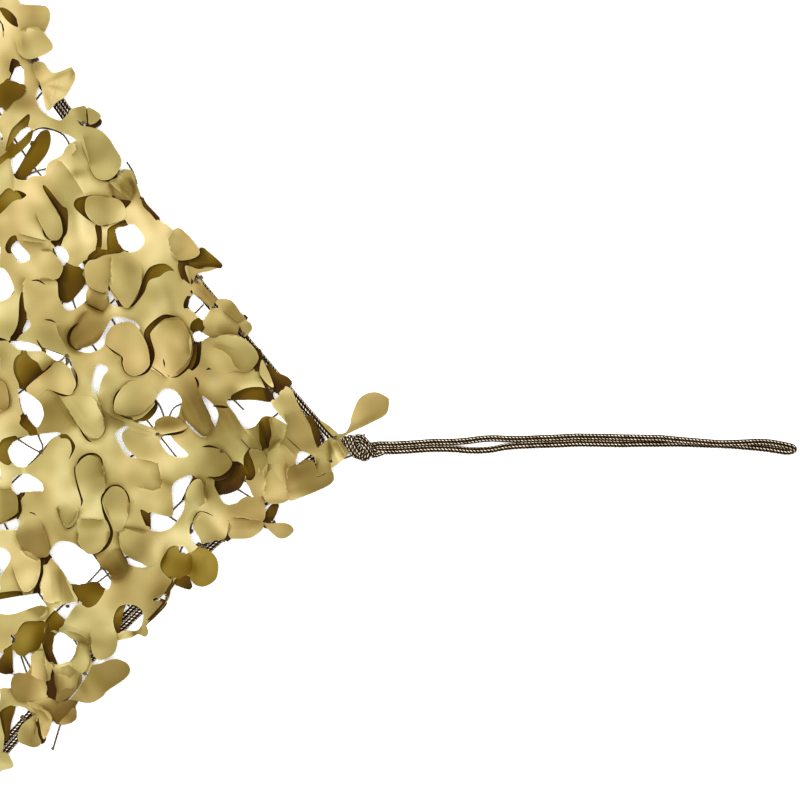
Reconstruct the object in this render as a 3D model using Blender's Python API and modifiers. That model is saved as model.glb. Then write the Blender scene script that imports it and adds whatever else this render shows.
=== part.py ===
"""Camouflage netting: a small panel of incised cloth on twine mesh, roped round its edge.

The panel lies flat. +X points to the tied corner and its loop, +Z is up.
The cutting layout is counted in ribs of the coated cloth: columns run along +X, rows run
along -Y, and the tied corner is at column 345, row 447.
"""
import math
import random

import bmesh
import bpy
from mathutils import Vector
from mathutils.geometry import delaunay_2d_cdt

# ---- driving sizes (metres) ----
RIB = 0.000735            # one rib of the coated cloth, the step of the cutting layout
SIDE = 0.440              # length of each roped side
UPPER_SIDE = 127.8        # heading of the upper side from the tied corner (degrees from +X)
LOWER_SIDE = 224.5        # heading of the lower side from the tied corner
CORNER = (0.2743, -0.0246)  # the tied corner, from the origin
CORNER_CELL = (345, 447)  # the same corner in the cutting layout
BOWS = {"upper": 0.0075, "far_upper": 0.009, "far_lower": 0.011, "lower": 0.0165}

CLOTH_THICK = 0.0010
SLIT = 0.0013             # width of a closed slit
CLOTH_HEIGHT = 0.0125     # middle of the sheet between its ties
CINCH_HEIGHT = 0.0037     # middle of the sheet where a tie holds it to a mesh knot
EDGE_HEIGHT = 0.0084      # middle of the sheet over the ropes
CINCH_REACH = 0.020       # how far a tie draws the sheet down
EDGE_NEAR = 0.030         # the sheet is at its edge height nearer the ropes than this
EDGE_FAR = 0.048

ROPE_D = 0.0050
GAP = 0.0003              # clearance between pieces
MESH_CELLS = 9
ROPE_INSET = 0.0030       # the outer rope lies this far inside the line between corners
LOOP_STEPS = 60           # points along the loop
ROPE_TURN = 0.045         # share of a side taken by a rope's turn at a corner
SIDE_SPANS = 11
TURN_SPANS = 5
KNOT_STEPS = 36
TWINE_W = 0.0016
TWINE_H = 0.0014
KNOT_W = 0.0030
STRAND_SLACK = 0.0012
KNOT_H = 0.0028
TIE_D = 0.0010
TIE_BEND = 0.0016
REST_STEP = 0.024         # spacing of the sheet's plain points between its slits
REST_CLEAR = 0.008

# ---- cutting layout ----
# Edge of the sheet from the tied corner up the upper side: column, row.
UPPER_EDGE = [
    (331, 436), (318, 440), (306, 419), (296, 398), (290, 380), (272, 368), (263, 357),
    (247, 340), (253, 328), (243, 315), (233, 299), (219, 300), (203, 281), (205, 272),
    (223, 266), (199, 250), (187, 235), (172, 229), (156, 216), (142, 196), (133, 172),
    (122, 170), (119, 157), (103, 130), (99, 115), (84, 107), (72, 112), (60, 121),
    (43, 113), (37, 98), (41, 85), (45, 106), (51, 112), (70, 95), (76, 79), (72, 69),
    (48, 71), (34, 62), (45, 60), (53, 50), (45, 33), (50, 16), (33, 8), (22, -6),
    (24, -20), (8, -26), (-8, -34),
]
# Edge of the sheet from the tied corner along the lower side: column, row.
LOWER_EDGE = [
    (341, 439), (342, 449), (342, 461), (333, 469), (334, 481), (328, 488), (300, 498), (272, 503), (268, 519),
    (282, 522), (294, 530), (283, 538), (255, 537), (228, 540), (205, 548), (215, 556),
    (217, 572), (203, 585), (190, 581), (176, 582), (168, 601), (150, 618), (149, 633),
    (133, 638), (119, 641), (117, 655), (100, 660), (118, 658), (131, 667), (118, 685),
    (92, 700), (76, 710), (66, 720), (56, 728), (44, 742), (22, 748), (16, 762),
    (4, 772), (-8, 784), (-14, 800), (-34, 806), (-44, 824), (-62, 830), (-70, 850),
]
# The paddle-shaped end leaf beside the knot: share of its length, half width in ribs.
PADDLE_ROOT = (338, 435)
PADDLE_TIP = (387, 399)
PADDLE = [(0.20, 2.5), (0.40, 5.5), (0.60, 12.0), (0.80, 14.5), (0.95, 8.5)]

# S-shaped slits: the middle of the stem, its turn, then for the upper lobe and the lower
# lobe the width, reach and tip gap in ribs and the lift in degrees (0 width: no such lobe).
S_CUTS = [
    # column, row, turn, up_w, up_reach, up_gap, up_lift, low_w, low_reach, low_gap, low_lift
    (80, 489, 10, 27, 36, 0, -8, 23, 37, 0, 8),
    (107, 517, 9, 24, 31, 0, -8, 24, 35, 0, 10),
    (48, 463, 0, 27, 30, 1, 10, 30, 29, 2, 125),
    (98, 400, 8, 16, 36, 2, -75, 22, 38, 0, 8),
    (148, 345, 4, 32, 30, 2, -12, 25, 31, 1, 12),
    (142, 287, -28, 27, 27, 1, 8, 27, 27, 3, 14),
    (106, 334, -40, 34, 25, 4, 10, 32, 25, 1, -45),
    (194, 331, 5, 20, 38, 3, 150, 28, 42, 3, 10),
    (214, 402, 12, 0, 0, 0, 0, 30, 33, 5, -20),
    (276, 390, 0, 0, 0, 0, 0, 44, 36, 3, -80),
    (245, 474, 0, 24, 26, 2, -20, 29, 29, 7, -50),
    (290, 482, 0, 27, 27, 6, -30, 0, 0, 0, 0),
    (154, 459, -75, 0, 0, 0, 0, 34, 33, 5, 8),
    (152, 398, -35, 0, 0, 0, 0, 31, 30, 1, 30),
    (50, 366, -100, 26, 28, 1, 25, 0, 0, 0, 0),
    (24, 303, 0, 0, 0, 0, 0, 26, 36, 2, 10),
    (70, 253, 8, 0, 0, 0, 0, 36, 28, 3, 14),
    (90, 282, 0, 0, 0, 0, 0, 28, 27, 4, -55),
    (112, 222, -85, 0, 0, 0, 0, 28, 34, 3, -12),
    (59, 200, 20, 0, 0, 0, 0, 26, 34, 2, 8),
    (22, 165, -15, 46, 34, 3, -55, 0, 0, 0, 0),
    (114, 156, 0, 0, 0, 0, 0, 24, 24, 1, 14),
    (6, 90, 0, 20, 27, 2, 155, 0, 0, 0, 0),
    (45, 380, 0, 0, 0, 0, 0, 26, 47, 3, -70),
    (0, 466, 0, 40, 29, 2, -70, 0, 0, 0, 0),
    (43, 556, 0, 0, 0, 0, 0, 27, 34, 1, 12),
    (15, 648, 0, 30, 27, 1, -30, 0, 0, 0, 0),
    (-4, 214, 0, 26, 26, 1, -35, 0, 0, 0, 0),
    (203, 447, -110, 27, 28, 1, 12, 0, 0, 0, 0),
]
# Slits that have drawn open to plain holes: middle, length and width in ribs, turn.
HOLES = [
    (186, 500, 54, 20, 70), (166, 522, 34, 15, 8), (204, 337, 12, 9, 0),
    (6, 284, 32, 15, 80), (19, 250, 22, 15, -50), (18, 136, 20, 8, 50),
    (50, 350, 48, 12, -24), (7, 523, 22, 10, 0), (3, 560, 24, 14, 80),
    (18, 603, 52, 12, 3), (74, 566, 54, 38, -36), (68, 609, 24, 9, 12),
    (66, 647, 28, 24, 60), (21, 662, 18, 12, -40), (4, 681, 16, 13, 0),
    (129, 618, 30, 28, 40), (136, 560, 28, 8, -28), (175, 446, 32, 13, -38),
    (172, 401, 24, 22, 90), (197, 536, 20, 7, 100), (184, 551, 12, 8, -20),
    (20, 722, 34, 20, 60), (103, 583, 18, 13, 60), (130, 238, 34, 26, 5),
    (64, 150, 30, 20, 40), (40, 176, 24, 9, 15),
]
# Regular cutting beyond the shaped stretch: one slit at every step of this lattice.
LATTICE_START = (80, 490)
LATTICE_STEP = (25, 27)
LATTICE_DROP = 111
LATTICE_LAST_COLUMN = -12
LATTICE_MARGIN = 0.004    # nearest that a lattice slit comes to the rope line
LATTICE_LIFTS = [14, -30, 40, -60, 22, 130, -20, 60, 10, -45]
LATTICE_SEED = 7

# Mesh knots that the cloth pulls out of line, and which of them hold a tie.
MESH_SHIFTS = {
    (2, 2): (158, 433), (4, 3): (67, 355), (5, 2): (50, 241), (3, 4): (41, 452),
    (1, 3): (191, 531), (1, 6): (15, 640),
}
CINCHES = [(2, 2), (4, 3), (3, 4), (3, 7), (5, 6), (7, 5), (6, 3), (7, 7), (5, 5)]

# Twine ties over the border ropes, as shares of each side in the order of SIDES.
TIE_SHARES = {
    "upper": [0.144, 0.264, 0.371, 0.597, 0.698, 0.827],
    "far_upper": [0.14, 0.28, 0.42, 0.58, 0.73, 0.86],
    "far_lower": [0.14, 0.27, 0.42, 0.58, 0.72, 0.86],
    "lower": [0.15, 0.30, 0.426, 0.64, 0.712, 0.876],
}

# Broad rumples in the sheet: middle, length and width in ribs, turn, height in millimetres.
RUMPLES = [
    (100, 200, 120, 34, 60, 4.0), (205, 370, 90, 40, -50, 3.5), (255, 425, 80, 30, 20, 4.0),
    (120, 560, 120, 36, -30, 3.5), (70, 625, 90, 34, 30, 4.0), (-90, 120, 150, 44, 40, 4.0),
    (-120, 380, 170, 50, -35, 4.5), (-240, 300, 160, 50, 55, 4.0), (-60, 700, 140, 40, 25, 4.0),
    (-200, 520, 160, 46, -20, 4.5), (-340, 420, 130, 40, 70, 3.5),
]

# Knot (length, width, height) and loop (in ribs from the tied corner: along +X, across).
KNOT_SIZE = (0.0235, 0.0205, 0.0120)
KNOT_START = 0.0006
LOOP_ROUTE = [
    (32.2, 4.2), (52, 5.2), (70, 4.8), (108, 6.5), (146, 8.6), (190, 9.8), (232, 10.6),
    (280, 10.4), (327, 9.4), (365, 7.6), (395, 6.8), (415, 7.0), (430, 6.2), (443, 3.0),
    (449, -3.0), (443, -9.0), (430, -9.5), (415, -6.5), (395, -2.5), (365, -0.6), (327, 1.5),
    (280, 3.0), (232, 3.0), (190, 2.0), (146, -0.2), (108, -3.0), (70, -4.2), (52, -4.4),
    (32.2, -4.2),
]


def rot(vector, degrees):
    """A plane vector turned counter-clockwise."""
    c = math.cos(math.radians(degrees))
    s = math.sin(math.radians(degrees))
    return Vector((vector[0] * c - vector[1] * s, vector[0] * s + vector[1] * c))


def cell(column, row):
    """A place in the cutting layout, as a plane point in metres."""
    return Vector((CORNER[0] + (column - CORNER_CELL[0]) * RIB,
                   CORNER[1] - (row - CORNER_CELL[1]) * RIB))


def smoothstep(low, high, value):
    t = min(1.0, max(0.0, (value - low) / (high - low)))
    return t * t * (3.0 - 2.0 * t)


def tied_corner():
    return Vector(CORNER)


def top_corner():
    return tied_corner() + rot((SIDE, 0.0), UPPER_SIDE)


def low_corner():
    return tied_corner() + rot((SIDE, 0.0), LOWER_SIDE)


def far_corner():
    return top_corner() + low_corner() - tied_corner()


SIDES = {   # each side runs counter-clockwise round the panel
    "upper": (tied_corner(), top_corner()),
    "far_upper": (top_corner(), far_corner()),
    "far_lower": (far_corner(), low_corner()),
    "lower": (low_corner(), tied_corner()),
}


def side_point(side, share, out):
    """A point at a share of a side, this far outside the bowed rope line."""
    start, end = SIDES[side]
    along = (end - start).normalized()
    outward = Vector((along.y, -along.x))
    bow = BOWS[side] * 4.0 * share * (1.0 - share)
    return start.lerp(end, share) + outward * (out - bow)


def inside_depth(point):
    """How far a point lies inside the rope line (negative outside)."""
    depth = 1.0
    for side, (start, end) in SIDES.items():
        along = (end - start).normalized()
        outward = Vector((along.y, -along.x))
        share = min(1.0, max(0.0, (point - start).dot(along) / SIDE))
        bow = BOWS[side] * 4.0 * share * (1.0 - share)
        depth = min(depth, -(point - start).dot(outward) - bow)
    return depth


def mesh_knot(i, j):
    """A knot of the twine mesh: i cells along the upper side, j along the lower side."""
    if (i, j) in MESH_SHIFTS:
        return cell(*MESH_SHIFTS[(i, j)])
    u = i / MESH_CELLS
    v = j / MESH_CELLS
    corner, top, low = tied_corner(), top_corner(), low_corner()
    point = corner + (top - corner) * u + (low - corner) * v
    for side, share, reach in (("upper", u, 1 - v), ("lower", 1 - v, 1 - u),
                               ("far_upper", v, u), ("far_lower", 1 - u, v)):
        start, end = SIDES[side]
        along = (end - start).normalized()
        outward = Vector((along.y, -along.x))
        point -= outward * BOWS[side] * 4.0 * share * (1.0 - share) * reach
    return point


def sheet_height(point):
    """Height of the middle of the sheet where no lobe is bent."""
    height = CLOTH_HEIGHT
    for column, row, length, width, turn, rise in RUMPLES:
        across = rot(point - cell(column, row), -turn)
        height += rise * 0.001 * math.exp(-(across.x / (length * RIB * 0.5)) ** 2
                                          - (across.y / (width * RIB * 0.5)) ** 2)
    for knot in CINCHES:
        reach = (point - mesh_knot(*knot)).length / CINCH_REACH
        height = CINCH_HEIGHT + (height - CINCH_HEIGHT) * (1.0 - math.exp(-reach * reach))
    depth = inside_depth(point)
    near = 1.0 - smoothstep(EDGE_NEAR, EDGE_FAR, depth)
    return height + (EDGE_HEIGHT - height) * near


def lowest_height(point):
    """The lowest that the middle of a bent lobe may come."""
    near = 1.0 - smoothstep(EDGE_NEAR, EDGE_FAR, inside_depth(point))
    return CINCH_HEIGHT + (EDGE_HEIGHT - CINCH_HEIGHT) * near


class Lobe:
    """A tongue of cloth between its root line and its tip, bent up or down."""

    def __init__(self, root, axis, length, lift):
        self.root = root
        self.axis = axis
        self.length = length
        self.lift = math.radians(lift)

    def place(self, point):
        reach = max(0.0, (point - self.root).dot(self.axis))
        if reach == 0.0 or abs(self.lift) < 0.01:
            return Vector((point.x, point.y, sheet_height(point)))
        angle = self.lift * reach / self.length
        radius = self.length / self.lift
        moved = point + self.axis * (radius * math.sin(angle) - reach)
        height = sheet_height(moved) + radius * (1.0 - math.cos(angle))
        return Vector((moved.x, moved.y, max(height, lowest_height(moved))))


def arc(middle_x, half, top, rise, steps, flip):
    """Points over a rounded lobe end from its right side to its left."""
    points = []
    for step in range(steps):
        angle = math.pi * (step + 0.5) / steps
        points.append(Vector((flip * (middle_x + half * math.cos(angle)),
                              flip * (top - rise + rise * math.sin(angle)))))
    return points


def s_cut(row, steps):
    """The opening of one S-shaped slit and its lobes, in plane metres."""
    column, line, turn = row[:3]
    stem = SLIT * 0.5
    halves = []
    for width, reach, gap, lift, flip in ((*row[3:7], 1), (*row[7:11], -1)):
        width, reach, gap = width * RIB, reach * RIB, gap * RIB
        if not width:
            halves.append(None)
            continue
        rise = min(0.5 * reach, 0.6 * width)
        end = Vector((flip * width, flip * 0.35 * reach))
        outer = arc(width / 2 - stem / 2, width / 2 + stem / 2, reach, rise, steps, flip)
        inner_half = width / 2 - SLIT - gap / 4
        inner = arc(width / 2 + gap / 4, inner_half, reach - SLIT - gap, rise * 0.9,
                    steps, flip)
        halves.append((end, outer, inner, width, reach, lift, flip))
    upper, lower = halves
    opening = []
    tags = []
    if upper:
        opening += [upper[0]] + upper[1]
        tags += [None] * (1 + len(upper[1]))
    else:
        opening.append(Vector((0.0, stem * 2.0)))
        tags.append(None)
    if lower:
        opening += lower[2][::-1] + [lower[0]] + lower[1]
        tags += ["lower"] * len(lower[2]) + [None] * (1 + len(lower[1]))
    else:
        opening.append(Vector((0.0, -stem * 2.0)))
        tags.append(None)
    if upper:
        opening += upper[2][::-1]
        tags += ["upper"] * len(upper[2])
    middle = cell(column, line)
    lobes = {}
    for name, half in (("upper", upper), ("lower", lower)):
        if half:
            end, _, _, width, reach, lift, flip = half
            lobes[name] = Lobe(middle + rot((0.0, end.y), turn), rot((0.0, flip), turn),
                               reach * 0.65, lift)
    return [middle + rot(p, turn) for p in opening], tags, lobes


def hole(row, steps):
    """A drawn-open slit: an ellipse."""
    column, line, length, width, turn = row
    points = []
    for step in range(steps):
        angle = 2.0 * math.pi * step / steps
        points.append(cell(column, line) + rot((0.5 * length * RIB * math.cos(angle),
                                                0.5 * width * RIB * math.sin(angle)), turn))
    return points, [None] * steps, {}


def lattice_cuts():
    """Rows for the regular slits beyond the shaped stretch."""
    random.seed(LATTICE_SEED)
    rows = []
    for drop in range(-9, 8):
        for step in range(-24, 4):
            column = LATTICE_START[0] + LATTICE_STEP[0] * step
            row = LATTICE_START[1] + LATTICE_STEP[1] * step + LATTICE_DROP * drop
            lifts = [random.choice(LATTICE_LIFTS), random.choice(LATTICE_LIFTS)]
            gaps = [random.choice((0, 1, 3)), random.choice((0, 1, 3))]
            turn = random.uniform(-8.0, 8.0)
            middle = cell(column, row)
            if column > LATTICE_LAST_COLUMN or inside_depth(middle) < 0.010:
                continue
            if max(lifts) > 100 and min(lifts) > 30:
                lifts[lifts.index(min(lifts))] = -20
            cut = (column, row, turn, 23, 33, gaps[0], lifts[0], 23, 33, gaps[1], lifts[1])
            opening = s_cut(cut, 3)[0]
            if min(inside_depth(point) for point in opening) > LATTICE_MARGIN:
                rows.append(cut)
    return rows


def rest_points(openings, outline):
    """Plain points of the sheet away from every slit, and one at each tie."""
    points = []
    low, high = low_corner(), top_corner()
    columns = int((CORNER[0] - far_corner().x) / REST_STEP)
    rows = int((high.y - low.y) / REST_STEP)
    spots = [Vector((far_corner().x + i * REST_STEP, low.y + j * REST_STEP))
             for i in range(columns + 1) for j in range(rows + 1)]
    spots += [mesh_knot(*knot) for knot in CINCHES]
    for number, spot in enumerate(spots):
        clear = REST_CLEAR if number < len(spots) - len(CINCHES) else 0.001
        if not in_polygon(spot, outline) or edge_distance(spot, outline) < clear:
            continue
        if all(edge_distance(spot, opening) > clear and not in_polygon(spot, opening)
               for opening in openings):
            points.append(spot)
    return points


def edge_distance(point, polygon):
    """Distance from a point to the nearest edge of a polygon."""
    nearest = 1.0
    for a, b in zip(polygon, polygon[1:] + polygon[:1]):
        along = b - a
        share = min(1.0, max(0.0, (point - a).dot(along) / max(along.length_squared, 1e-12)))
        nearest = min(nearest, (point - a - along * share).length)
    return nearest


def scalloped(side, first, last, seed):
    """The sheet's edge along a plain side: leaves between its border ties."""
    random.seed(seed)
    points = []
    for index in range(first, last):
        for share, out in ((0.12, -0.004), (0.35, 0.006), (0.62, 0.009), (0.86, 0.001)):
            wander = random.uniform(-0.003, 0.004)
            points.append(side_point(side, (index + share) / MESH_CELLS, out + wander))
    return points


def paddle():
    root, tip = cell(*PADDLE_ROOT), cell(*PADDLE_TIP)
    axis = (tip - root).normalized()
    right = Vector((axis.y, -axis.x))
    length = (tip - root).length
    out = [root + axis * length * share + right * half * RIB for share, half in PADDLE]
    back = [root + axis * length * share - right * half * RIB for share, half in PADDLE]
    return out + [tip] + back[::-1]


def sheet_outline():
    """The edge of the sheet, counter-clockwise from the tied corner."""
    points = paddle()
    points += [cell(*row) for row in UPPER_EDGE]
    points += scalloped("far_upper", 0, MESH_CELLS, 3)
    points += scalloped("far_lower", 0, MESH_CELLS, 5)
    points += [cell(*row) for row in LOWER_EDGE[::-1]]
    return points


def in_polygon(point, polygon):
    inside = False
    for a, b in zip(polygon, polygon[1:] + polygon[:1]):
        if (a.y > point.y) != (b.y > point.y):
            if point.x < (b.x - a.x) * (point.y - a.y) / (b.y - a.y) + a.x:
                inside = not inside
    return inside


def material(name, colour, roughness):
    made = bpy.data.materials.new(name)
    made.use_nodes = True
    shader = made.node_tree.nodes["Principled BSDF"]
    shader.inputs["Base Color"].default_value = (*colour, 1.0)
    shader.inputs["Roughness"].default_value = roughness
    shader.inputs["Metallic"].default_value = 0.0
    return made


def add_object(name, mesh, finish, group):
    made = bpy.data.objects.new(name, mesh)
    made.data.materials.append(finish)
    group.objects.link(made)
    return made


def build_cloth(finish, group):
    """The incised sheet: one flat cutting, bent lobe by lobe, then given its thickness."""
    outline = sheet_outline()
    openings = [s_cut(row, 4) for row in S_CUTS]
    openings += [s_cut(row, 3) for row in lattice_cuts()]
    openings += [hole(row, 8) for row in HOLES]
    points = list(outline)
    lobes = [None] * len(outline)
    faces = [list(range(len(outline)))]
    for polygon, tags, parts in openings:
        first = len(points)
        points += polygon
        lobes += [parts[tag] if tag else None for tag in tags]
        faces.append(list(range(first, first + len(polygon))))
    plain = rest_points([polygon for polygon, _, _ in openings], outline)
    points += plain
    lobes += [None] * len(plain)
    result = delaunay_2d_cdt([p.xy for p in points], [], faces, 0, 1e-6, True)
    flat, _, triangles, sources, _, owners = result
    mesh = bmesh.new()
    verts = []
    for index, place in enumerate(flat):
        lobe = lobes[sources[index][0]] if sources[index] else None
        point = Vector((place[0], place[1]))
        spot = lobe.place(point) if lobe else Vector((*point, sheet_height(point)))
        verts.append(mesh.verts.new(spot))
    for triangle, owner in zip(triangles, owners):
        if owner == [0]:
            mesh.faces.new([verts[i] for i in triangle])
    loose = [v for v in mesh.verts if not v.link_faces]
    bmesh.ops.delete(mesh, geom=loose, context="VERTS")
    data = bpy.data.meshes.new("incised_cloth")
    mesh.to_mesh(data)
    mesh.free()
    sheet = add_object("incised_cloth", data, finish, group)
    shell = sheet.modifiers.new("thickness", "SOLIDIFY")
    shell.thickness = CLOTH_THICK
    shell.offset = 0.0
    return sheet


def build_mesh_net(finish, group):
    """The twine mesh: flat strands between raised knots, with a flat underside."""
    count = MESH_CELLS
    knots = {}
    for i in range(count + 1):
        for j in range(count + 1):
            if 0 < i < count and 0 < j < count:
                knots[(i, j)] = mesh_knot(i, j)
    ends = {}
    inset = ROPE_INSET + ROPE_D * 1.5 + GAP * 2.5
    for k in range(1, count):
        share = k / count
        ends[(k, 0)] = side_point("upper", share, -inset)
        ends[(k, count)] = side_point("far_lower", 1 - share, -inset)
        ends[(0, k)] = side_point("lower", 1 - share, -inset)
        ends[(count, k)] = side_point("far_upper", share, -inset)
    mesh = bmesh.new()
    ports = {}
    for key, middle in knots.items():
        around = [(1, 0), (0, 1), (-1, 0), (0, -1)]
        reach = {}
        for di, dj in around:
            other = (key[0] + di, key[1] + dj)
            target = knots.get(other) or ends.get(other)
            reach[(di, dj)] = (target - middle).normalized()
        corners_low, corners_top = [], []
        order = sorted(around, key=lambda d: math.atan2(reach[d].y, reach[d].x))
        for first, second in zip(order, order[1:] + order[:1]):
            way = (reach[first] + reach[second]).normalized()
            spot = middle + way * KNOT_W * 0.5
            corners_low.append(mesh.verts.new((*spot, 0.0)))
            corners_top.append(mesh.verts.new((*spot, TWINE_H)))
        peak = mesh.verts.new((*middle, KNOT_H))
        mesh.faces.new(corners_low[::-1])
        for a, b in zip(corners_top, corners_top[1:] + corners_top[:1]):
            mesh.faces.new((a, b, peak))
        for index, way in enumerate(order):
            ports[(key, way)] = (corners_low[index - 1], corners_low[index],
                                 corners_top[index - 1], corners_top[index])
    for key in knots:
        for way in ((1, 0), (0, 1), (-1, 0), (0, -1)):
            other = (key[0] + way[0], key[1] + way[1])
            back = (-way[0], -way[1])
            a_low, b_low, a_top, b_top = ports[(key, way)]
            if other in knots:
                if way not in ((1, 0), (0, 1)):
                    continue
                c_low, d_low, c_top, d_top = ports[(other, back)]
                join_strand(mesh, (a_low, b_low, a_top, b_top), (d_low, c_low, d_top, c_top),
                            knots[key], knots[other])
            else:
                end_strand(mesh, (a_low, b_low, a_top, b_top), knots[key], ends[other])
    data = bpy.data.meshes.new("twine_mesh")
    bmesh.ops.recalc_face_normals(mesh, faces=mesh.faces)
    mesh.to_mesh(data)
    mesh.free()
    return add_object("twine_mesh", data, finish, group)


def band(mesh, lower, upper):
    """Side faces between two four-sided rings given as low a, low b, top a, top b."""
    ring_one = (lower[0], lower[1], lower[3], lower[2])
    ring_two = (upper[0], upper[1], upper[3], upper[2])
    for index in range(4):
        nxt = (index + 1) % 4
        mesh.faces.new((ring_one[index], ring_one[nxt], ring_two[nxt], ring_two[index]))


def strand_ring(mesh, middle, along):
    side = Vector((-along.y, along.x)) * TWINE_W * 0.5
    return (mesh.verts.new((*(middle - side), 0.0)), mesh.verts.new((*(middle + side), 0.0)),
            mesh.verts.new((*(middle - side), TWINE_H)),
            mesh.verts.new((*(middle + side), TWINE_H)))


def join_strand(mesh, start, end, start_at, end_at):
    """A slightly slack strand between two knots."""
    along = (end_at - start_at).normalized()
    side = Vector((-along.y, along.x))
    middle = strand_ring(mesh, start_at.lerp(end_at, 0.5) + side * STRAND_SLACK, along)
    band(mesh, start, middle)
    band(mesh, middle, end)


def end_strand(mesh, start, start_at, end_at):
    along = (end_at - start_at).normalized()
    last = strand_ring(mesh, end_at, along)
    band(mesh, start, last)
    mesh.faces.new((last[0], last[1], last[3], last[2]))


def smooth_route(points, count):
    """Evenly spaced points on a smooth curve through a route."""
    route = [points[0] * 2 - points[1], *points, points[-1] * 2 - points[-2]]
    fine = []
    for a, b, c, d in zip(route, route[1:], route[2:], route[3:]):
        for step in range(16):
            t = step / 16
            fine.append(0.5 * (2 * b + (c - a) * t + (2 * a - 5 * b + 4 * c - d) * t * t
                               + (3 * b - a - 3 * c + d) * t * t * t))
    fine.append(Vector(points[-1]))
    lengths = [0.0]
    for a, b in zip(fine, fine[1:]):
        lengths.append(lengths[-1] + (b - a).length)
    picked = []
    at = 0
    for step in range(count):
        want = lengths[-1] * step / (count - 1)
        while at < len(lengths) - 2 and lengths[at + 1] < want:
            at += 1
        span = lengths[at + 1] - lengths[at]
        picked.append(fine[at].lerp(fine[at + 1], (want - lengths[at]) / span))
    return picked


def tube(name, points, radius, finish, group, closed=False, resolution=2):
    curve = bpy.data.curves.new(name, "CURVE")
    curve.dimensions = "3D"
    curve.bevel_depth = radius
    curve.bevel_resolution = resolution
    curve.use_fill_caps = not closed
    spline = curve.splines.new("POLY")
    spline.points.add(len(points) - 1)
    spline.use_cyclic_u = closed
    for spot, point in zip(points, spline.points):
        point.co = (*spot, 1.0)
    return add_object(name, curve, finish, group)


def rope_side(side, out):
    """Rope points along one side, short of the turns at its ends."""
    points = []
    for step in range(SIDE_SPANS + 1):
        share = ROPE_TURN + (1.0 - 2.0 * ROPE_TURN) * step / SIDE_SPANS
        points.append(side_point(side, share, out))
    return points


def rope_turn(before, after):
    """A rounded turn between the ends of two sides, each a list of points."""
    start, end = before[-1], after[0]
    along_in = (before[-1] - before[-2]).normalized()
    along_out = (after[0] - after[1]).normalized()
    across = along_in.x * along_out.y - along_in.y * along_out.x
    gap = end - start
    reach = (gap.x * along_out.y - gap.y * along_out.x) / across
    corner = start + along_in * reach
    turn = []
    for step in range(1, TURN_SPANS):
        t = step / TURN_SPANS
        turn.append(start * (1 - t) ** 2 + corner * 2 * t * (1 - t) + end * t ** 2)
    return turn


def rope_round(out, shut):
    """The rope line round the panel, from the tied corner back to it."""
    sides = [rope_side(side, out) for side in SIDES]
    route = []
    for number, points in enumerate(sides):
        if number > 0:
            route += rope_turn(sides[number - 1], points)
        route += points
    if shut:
        route += rope_turn(sides[-1], sides[0])
    return [Vector((*point, ROPE_D * 0.5)) for point in route]


def build_ropes(finish, group):
    """Two runs of rope side by side: the outer one ends at the knot, the inner one is shut."""
    corner = Vector((*tied_corner(), ROPE_D * 0.5))
    half = (ROPE_D + GAP) * 0.5
    ends = [corner + Vector((KNOT_START - GAP, side * half, 0.0)) for side in (1, -1)]
    leads = [corner + Vector((KNOT_START - 0.007, side * half * 1.5, 0.0)) for side in (1, -1)]
    route = [ends[0], leads[0], *rope_round(-ROPE_INSET, False), leads[1], ends[1]]
    tube("border_rope_outer", route, ROPE_D * 0.5, finish, group)
    route = rope_round(-ROPE_INSET - ROPE_D - GAP, True)
    tube("border_rope_inner", route, ROPE_D * 0.5, finish, group, closed=True)


def build_knot(finish, group):
    """The overhand knot of the tied corner: three rope turns drawn into each other."""
    radius = ROPE_D * 0.42
    turns = []
    for step in range(KNOT_STEPS):
        angle = 2.0 * math.pi * step / KNOT_STEPS
        reach = 2.0 + math.cos(3.0 * angle)
        turns.append((math.cos(2.0 * angle) * reach, math.sin(2.0 * angle) * reach,
                      math.sin(3.0 * angle)))
    points = [[] for _ in turns]
    starts = (CORNER[0] + KNOT_START, CORNER[1] - KNOT_SIZE[1] * 0.5, 0.0)
    for axis in range(3):
        low = min(turn[axis] for turn in turns)
        high = max(turn[axis] for turn in turns)
        room = KNOT_SIZE[axis] - 2.0 * radius
        for turn, point in zip(turns, points):
            share = (turn[axis] - low) / (high - low)
            point.append(starts[axis] + radius + room * share)
    return tube("corner_knot", points, radius, finish, group, closed=True)


def build_loop(finish, group):
    """The long bight of rope that lies free from the knot."""
    corner = tied_corner()
    points = [Vector((corner.x + along * RIB, corner.y + across * RIB, ROPE_D * 0.5))
              for along, across in LOOP_ROUTE]
    return tube("corner_loop", smooth_route(points, LOOP_STEPS), ROPE_D * 0.5, finish, group)


def build_ties(finish, group):
    """The twine lashings over both ropes."""
    inner = -(ROPE_D * 1.5 + GAP * 2.5 + TIE_D * 0.5) - ROPE_INSET
    outer = ROPE_D * 0.5 + GAP * 1.5 + TIE_D * 0.5 - ROPE_INSET
    top = ROPE_D + GAP + TIE_D * 0.5
    for side in SIDES:
        start, end = SIDES[side]
        along = (end - start).normalized()
        outward = Vector((along.y, -along.x))
        for number, share in enumerate(TIE_SHARES[side], 1):
            middle = side_point(side, share, 0.0)
            points = []
            for out, height in ((inner, 0.0001), (inner, top - TIE_BEND),
                                (inner + TIE_BEND, top), (outer - TIE_BEND, top),
                                (outer, top - TIE_BEND), (outer, 0.0001)):
                points.append(Vector((*(middle + outward * out), height)))
            tube(f"border_tie_{side}_{number}", points, TIE_D * 0.5, finish, group, resolution=0)


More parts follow.
